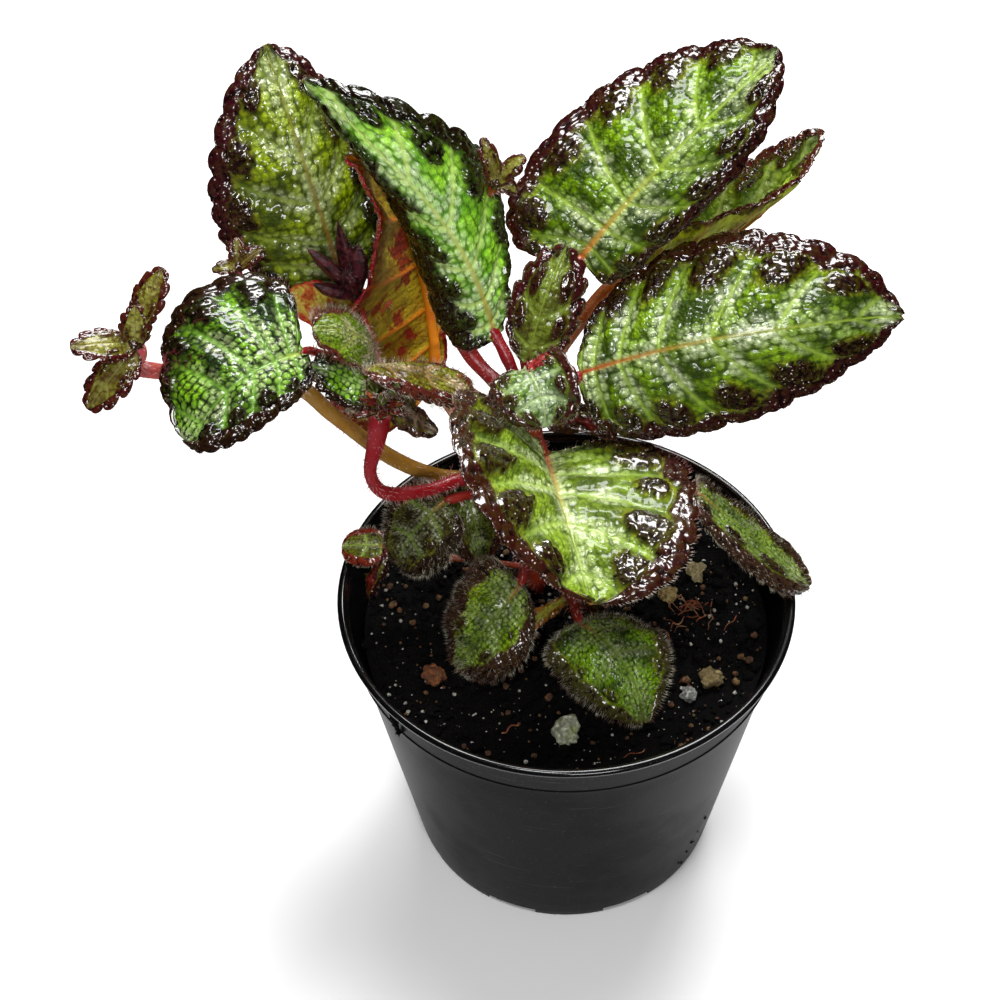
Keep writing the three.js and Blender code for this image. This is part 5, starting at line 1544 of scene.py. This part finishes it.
def make_calyx():
    """The spent flower cup: five lobes spreading from one foot."""
    body, hairs = Form(), Form()
    at, radius = CALYX_FOOT
    add_lump(body, at, radius, detail=3, rough=0.3, seed=5)
    for number, tip in enumerate(CALYX_TIPS):
        add_calyx_lobe(body, hairs, np.array(at, float), np.array(tip, float), -1.0 if number % 2 else 0.8)
    finish, nodes, surface = new_finish("calyx_skin")
    streak = nodes.ramp(nodes.noise(520.0, 4.0), 0.35, 0.7)
    colour = nodes.mix(streak, shade(28, 5, 10), shade(88, 26, 34))
    dress(nodes, surface, colour, nodes.ramp(streak, 0.0, 1.0, 0.32, 0.5))
    add_bump(nodes, surface, nodes.noise(1300.0, 5.0), 0.0004)
    show(body, "calyx_cup", finish, ["calyx"])
    pale = hair_finish("calyx_hair", shade(226, 206, 196), shade(150, 100, 100))
    show(hairs, "calyx_hairs", pale)


def make_camera():
    """The camera at the photo's angle, turned a little about its own axis."""
    elevation, roll = math.radians(CAMERA["elevation"]), math.radians(CAMERA["roll"])
    back = Vector((0, -math.cos(elevation), math.sin(elevation)))
    right = Vector((1, 0, 0))
    up = back.cross(right)
    at = Vector(CAMERA["target"]) + back * CAMERA["distance"] + right * CAMERA["right"] + up * CAMERA["up"]
    side = right * math.cos(roll) - up * math.sin(roll)
    top = right * math.sin(roll) + up * math.cos(roll)
    camera = add_object("camera", bpy.data.cameras.new("camera"))
    camera.data.lens = CAMERA["lens"]
    camera.data.sensor_width = CAMERA["sensor"]
    camera.data.clip_start = 0.01
    camera.matrix_world = Matrix.Translation(at * MM) @ Matrix((side, top, back)).transposed().to_4x4()
    bpy.context.scene.camera = camera


def soft_light(name, at, aim, size, power):
    """A rectangle of light."""
    light = bpy.data.lights.new(name, "AREA")
    light.shape = "RECTANGLE"
    light.size, light.size_y = size
    light.energy = power
    turn = (Vector(at) - Vector(aim)).to_track_quat("Z", "Y").to_matrix().to_4x4()
    add_object(name, light).matrix_world = Matrix.Translation(at) @ turn


def paper_finish():
    """Pale paper. The gloss of the pot shows it and the gloss of the leaves, further from it, doesn't."""
    paper, nodes, surface = new_finish("floor_paper", Roughness=0.9, Specular_IOR_Level=0.1)
    colour = nodes.mix(nodes.noise(3.0), shade(246, 246, 246), shade(250, 250, 250))
    path = nodes.add("ShaderNodeLightPath")
    beyond = nodes.ramp(path.outputs["Ray Length"], *FLOOR_SHEEN_REACH)
    hidden = nodes.times(path.outputs["Is Glossy Ray"], beyond)
    nodes.put(surface.inputs["Base Color"], nodes.mix(hidden, colour, shade(0, 0, 0)))
    return paper


def make_studio():
    """A plain pale floor, soft lights and a faint even light from all round."""
    ground = Form()
    corners = ((-1, -1), (1, -1), (1, 1), (-1, 1))
    ground.add([(x * FLOOR_HALF, y * FLOOR_HALF, -0.05) for x, y in corners], [(0, 1, 2, 3)])
    floor = add_object("floor", ground.mesh("floor"))
    floor.data.materials.append(paper_finish())
    world = bpy.data.worlds.new("studio")
    bpy.context.scene.world = world
    world.use_nodes = True
    background = world.node_tree.nodes["Background"]
    background.inputs["Color"].default_value = (1, 1, 1, 1)
    background.inputs["Strength"].default_value = 0.23
    world.cycles_visibility.glossy = False
    for name, traits in LIGHTS.items():
        soft_light(name, **traits)
    view = bpy.context.scene.view_settings
    view.view_transform = "Standard"
    view.look = "None"


make_camera()
make_studio()
make_pot()
make_soil()
make_chips()
make_fibres()
make_stones()
make_stems()
skins = blade_finishes()
make_rosette(skins)
make_leaves(skins)
make_plantlets(skins)
make_calyx()
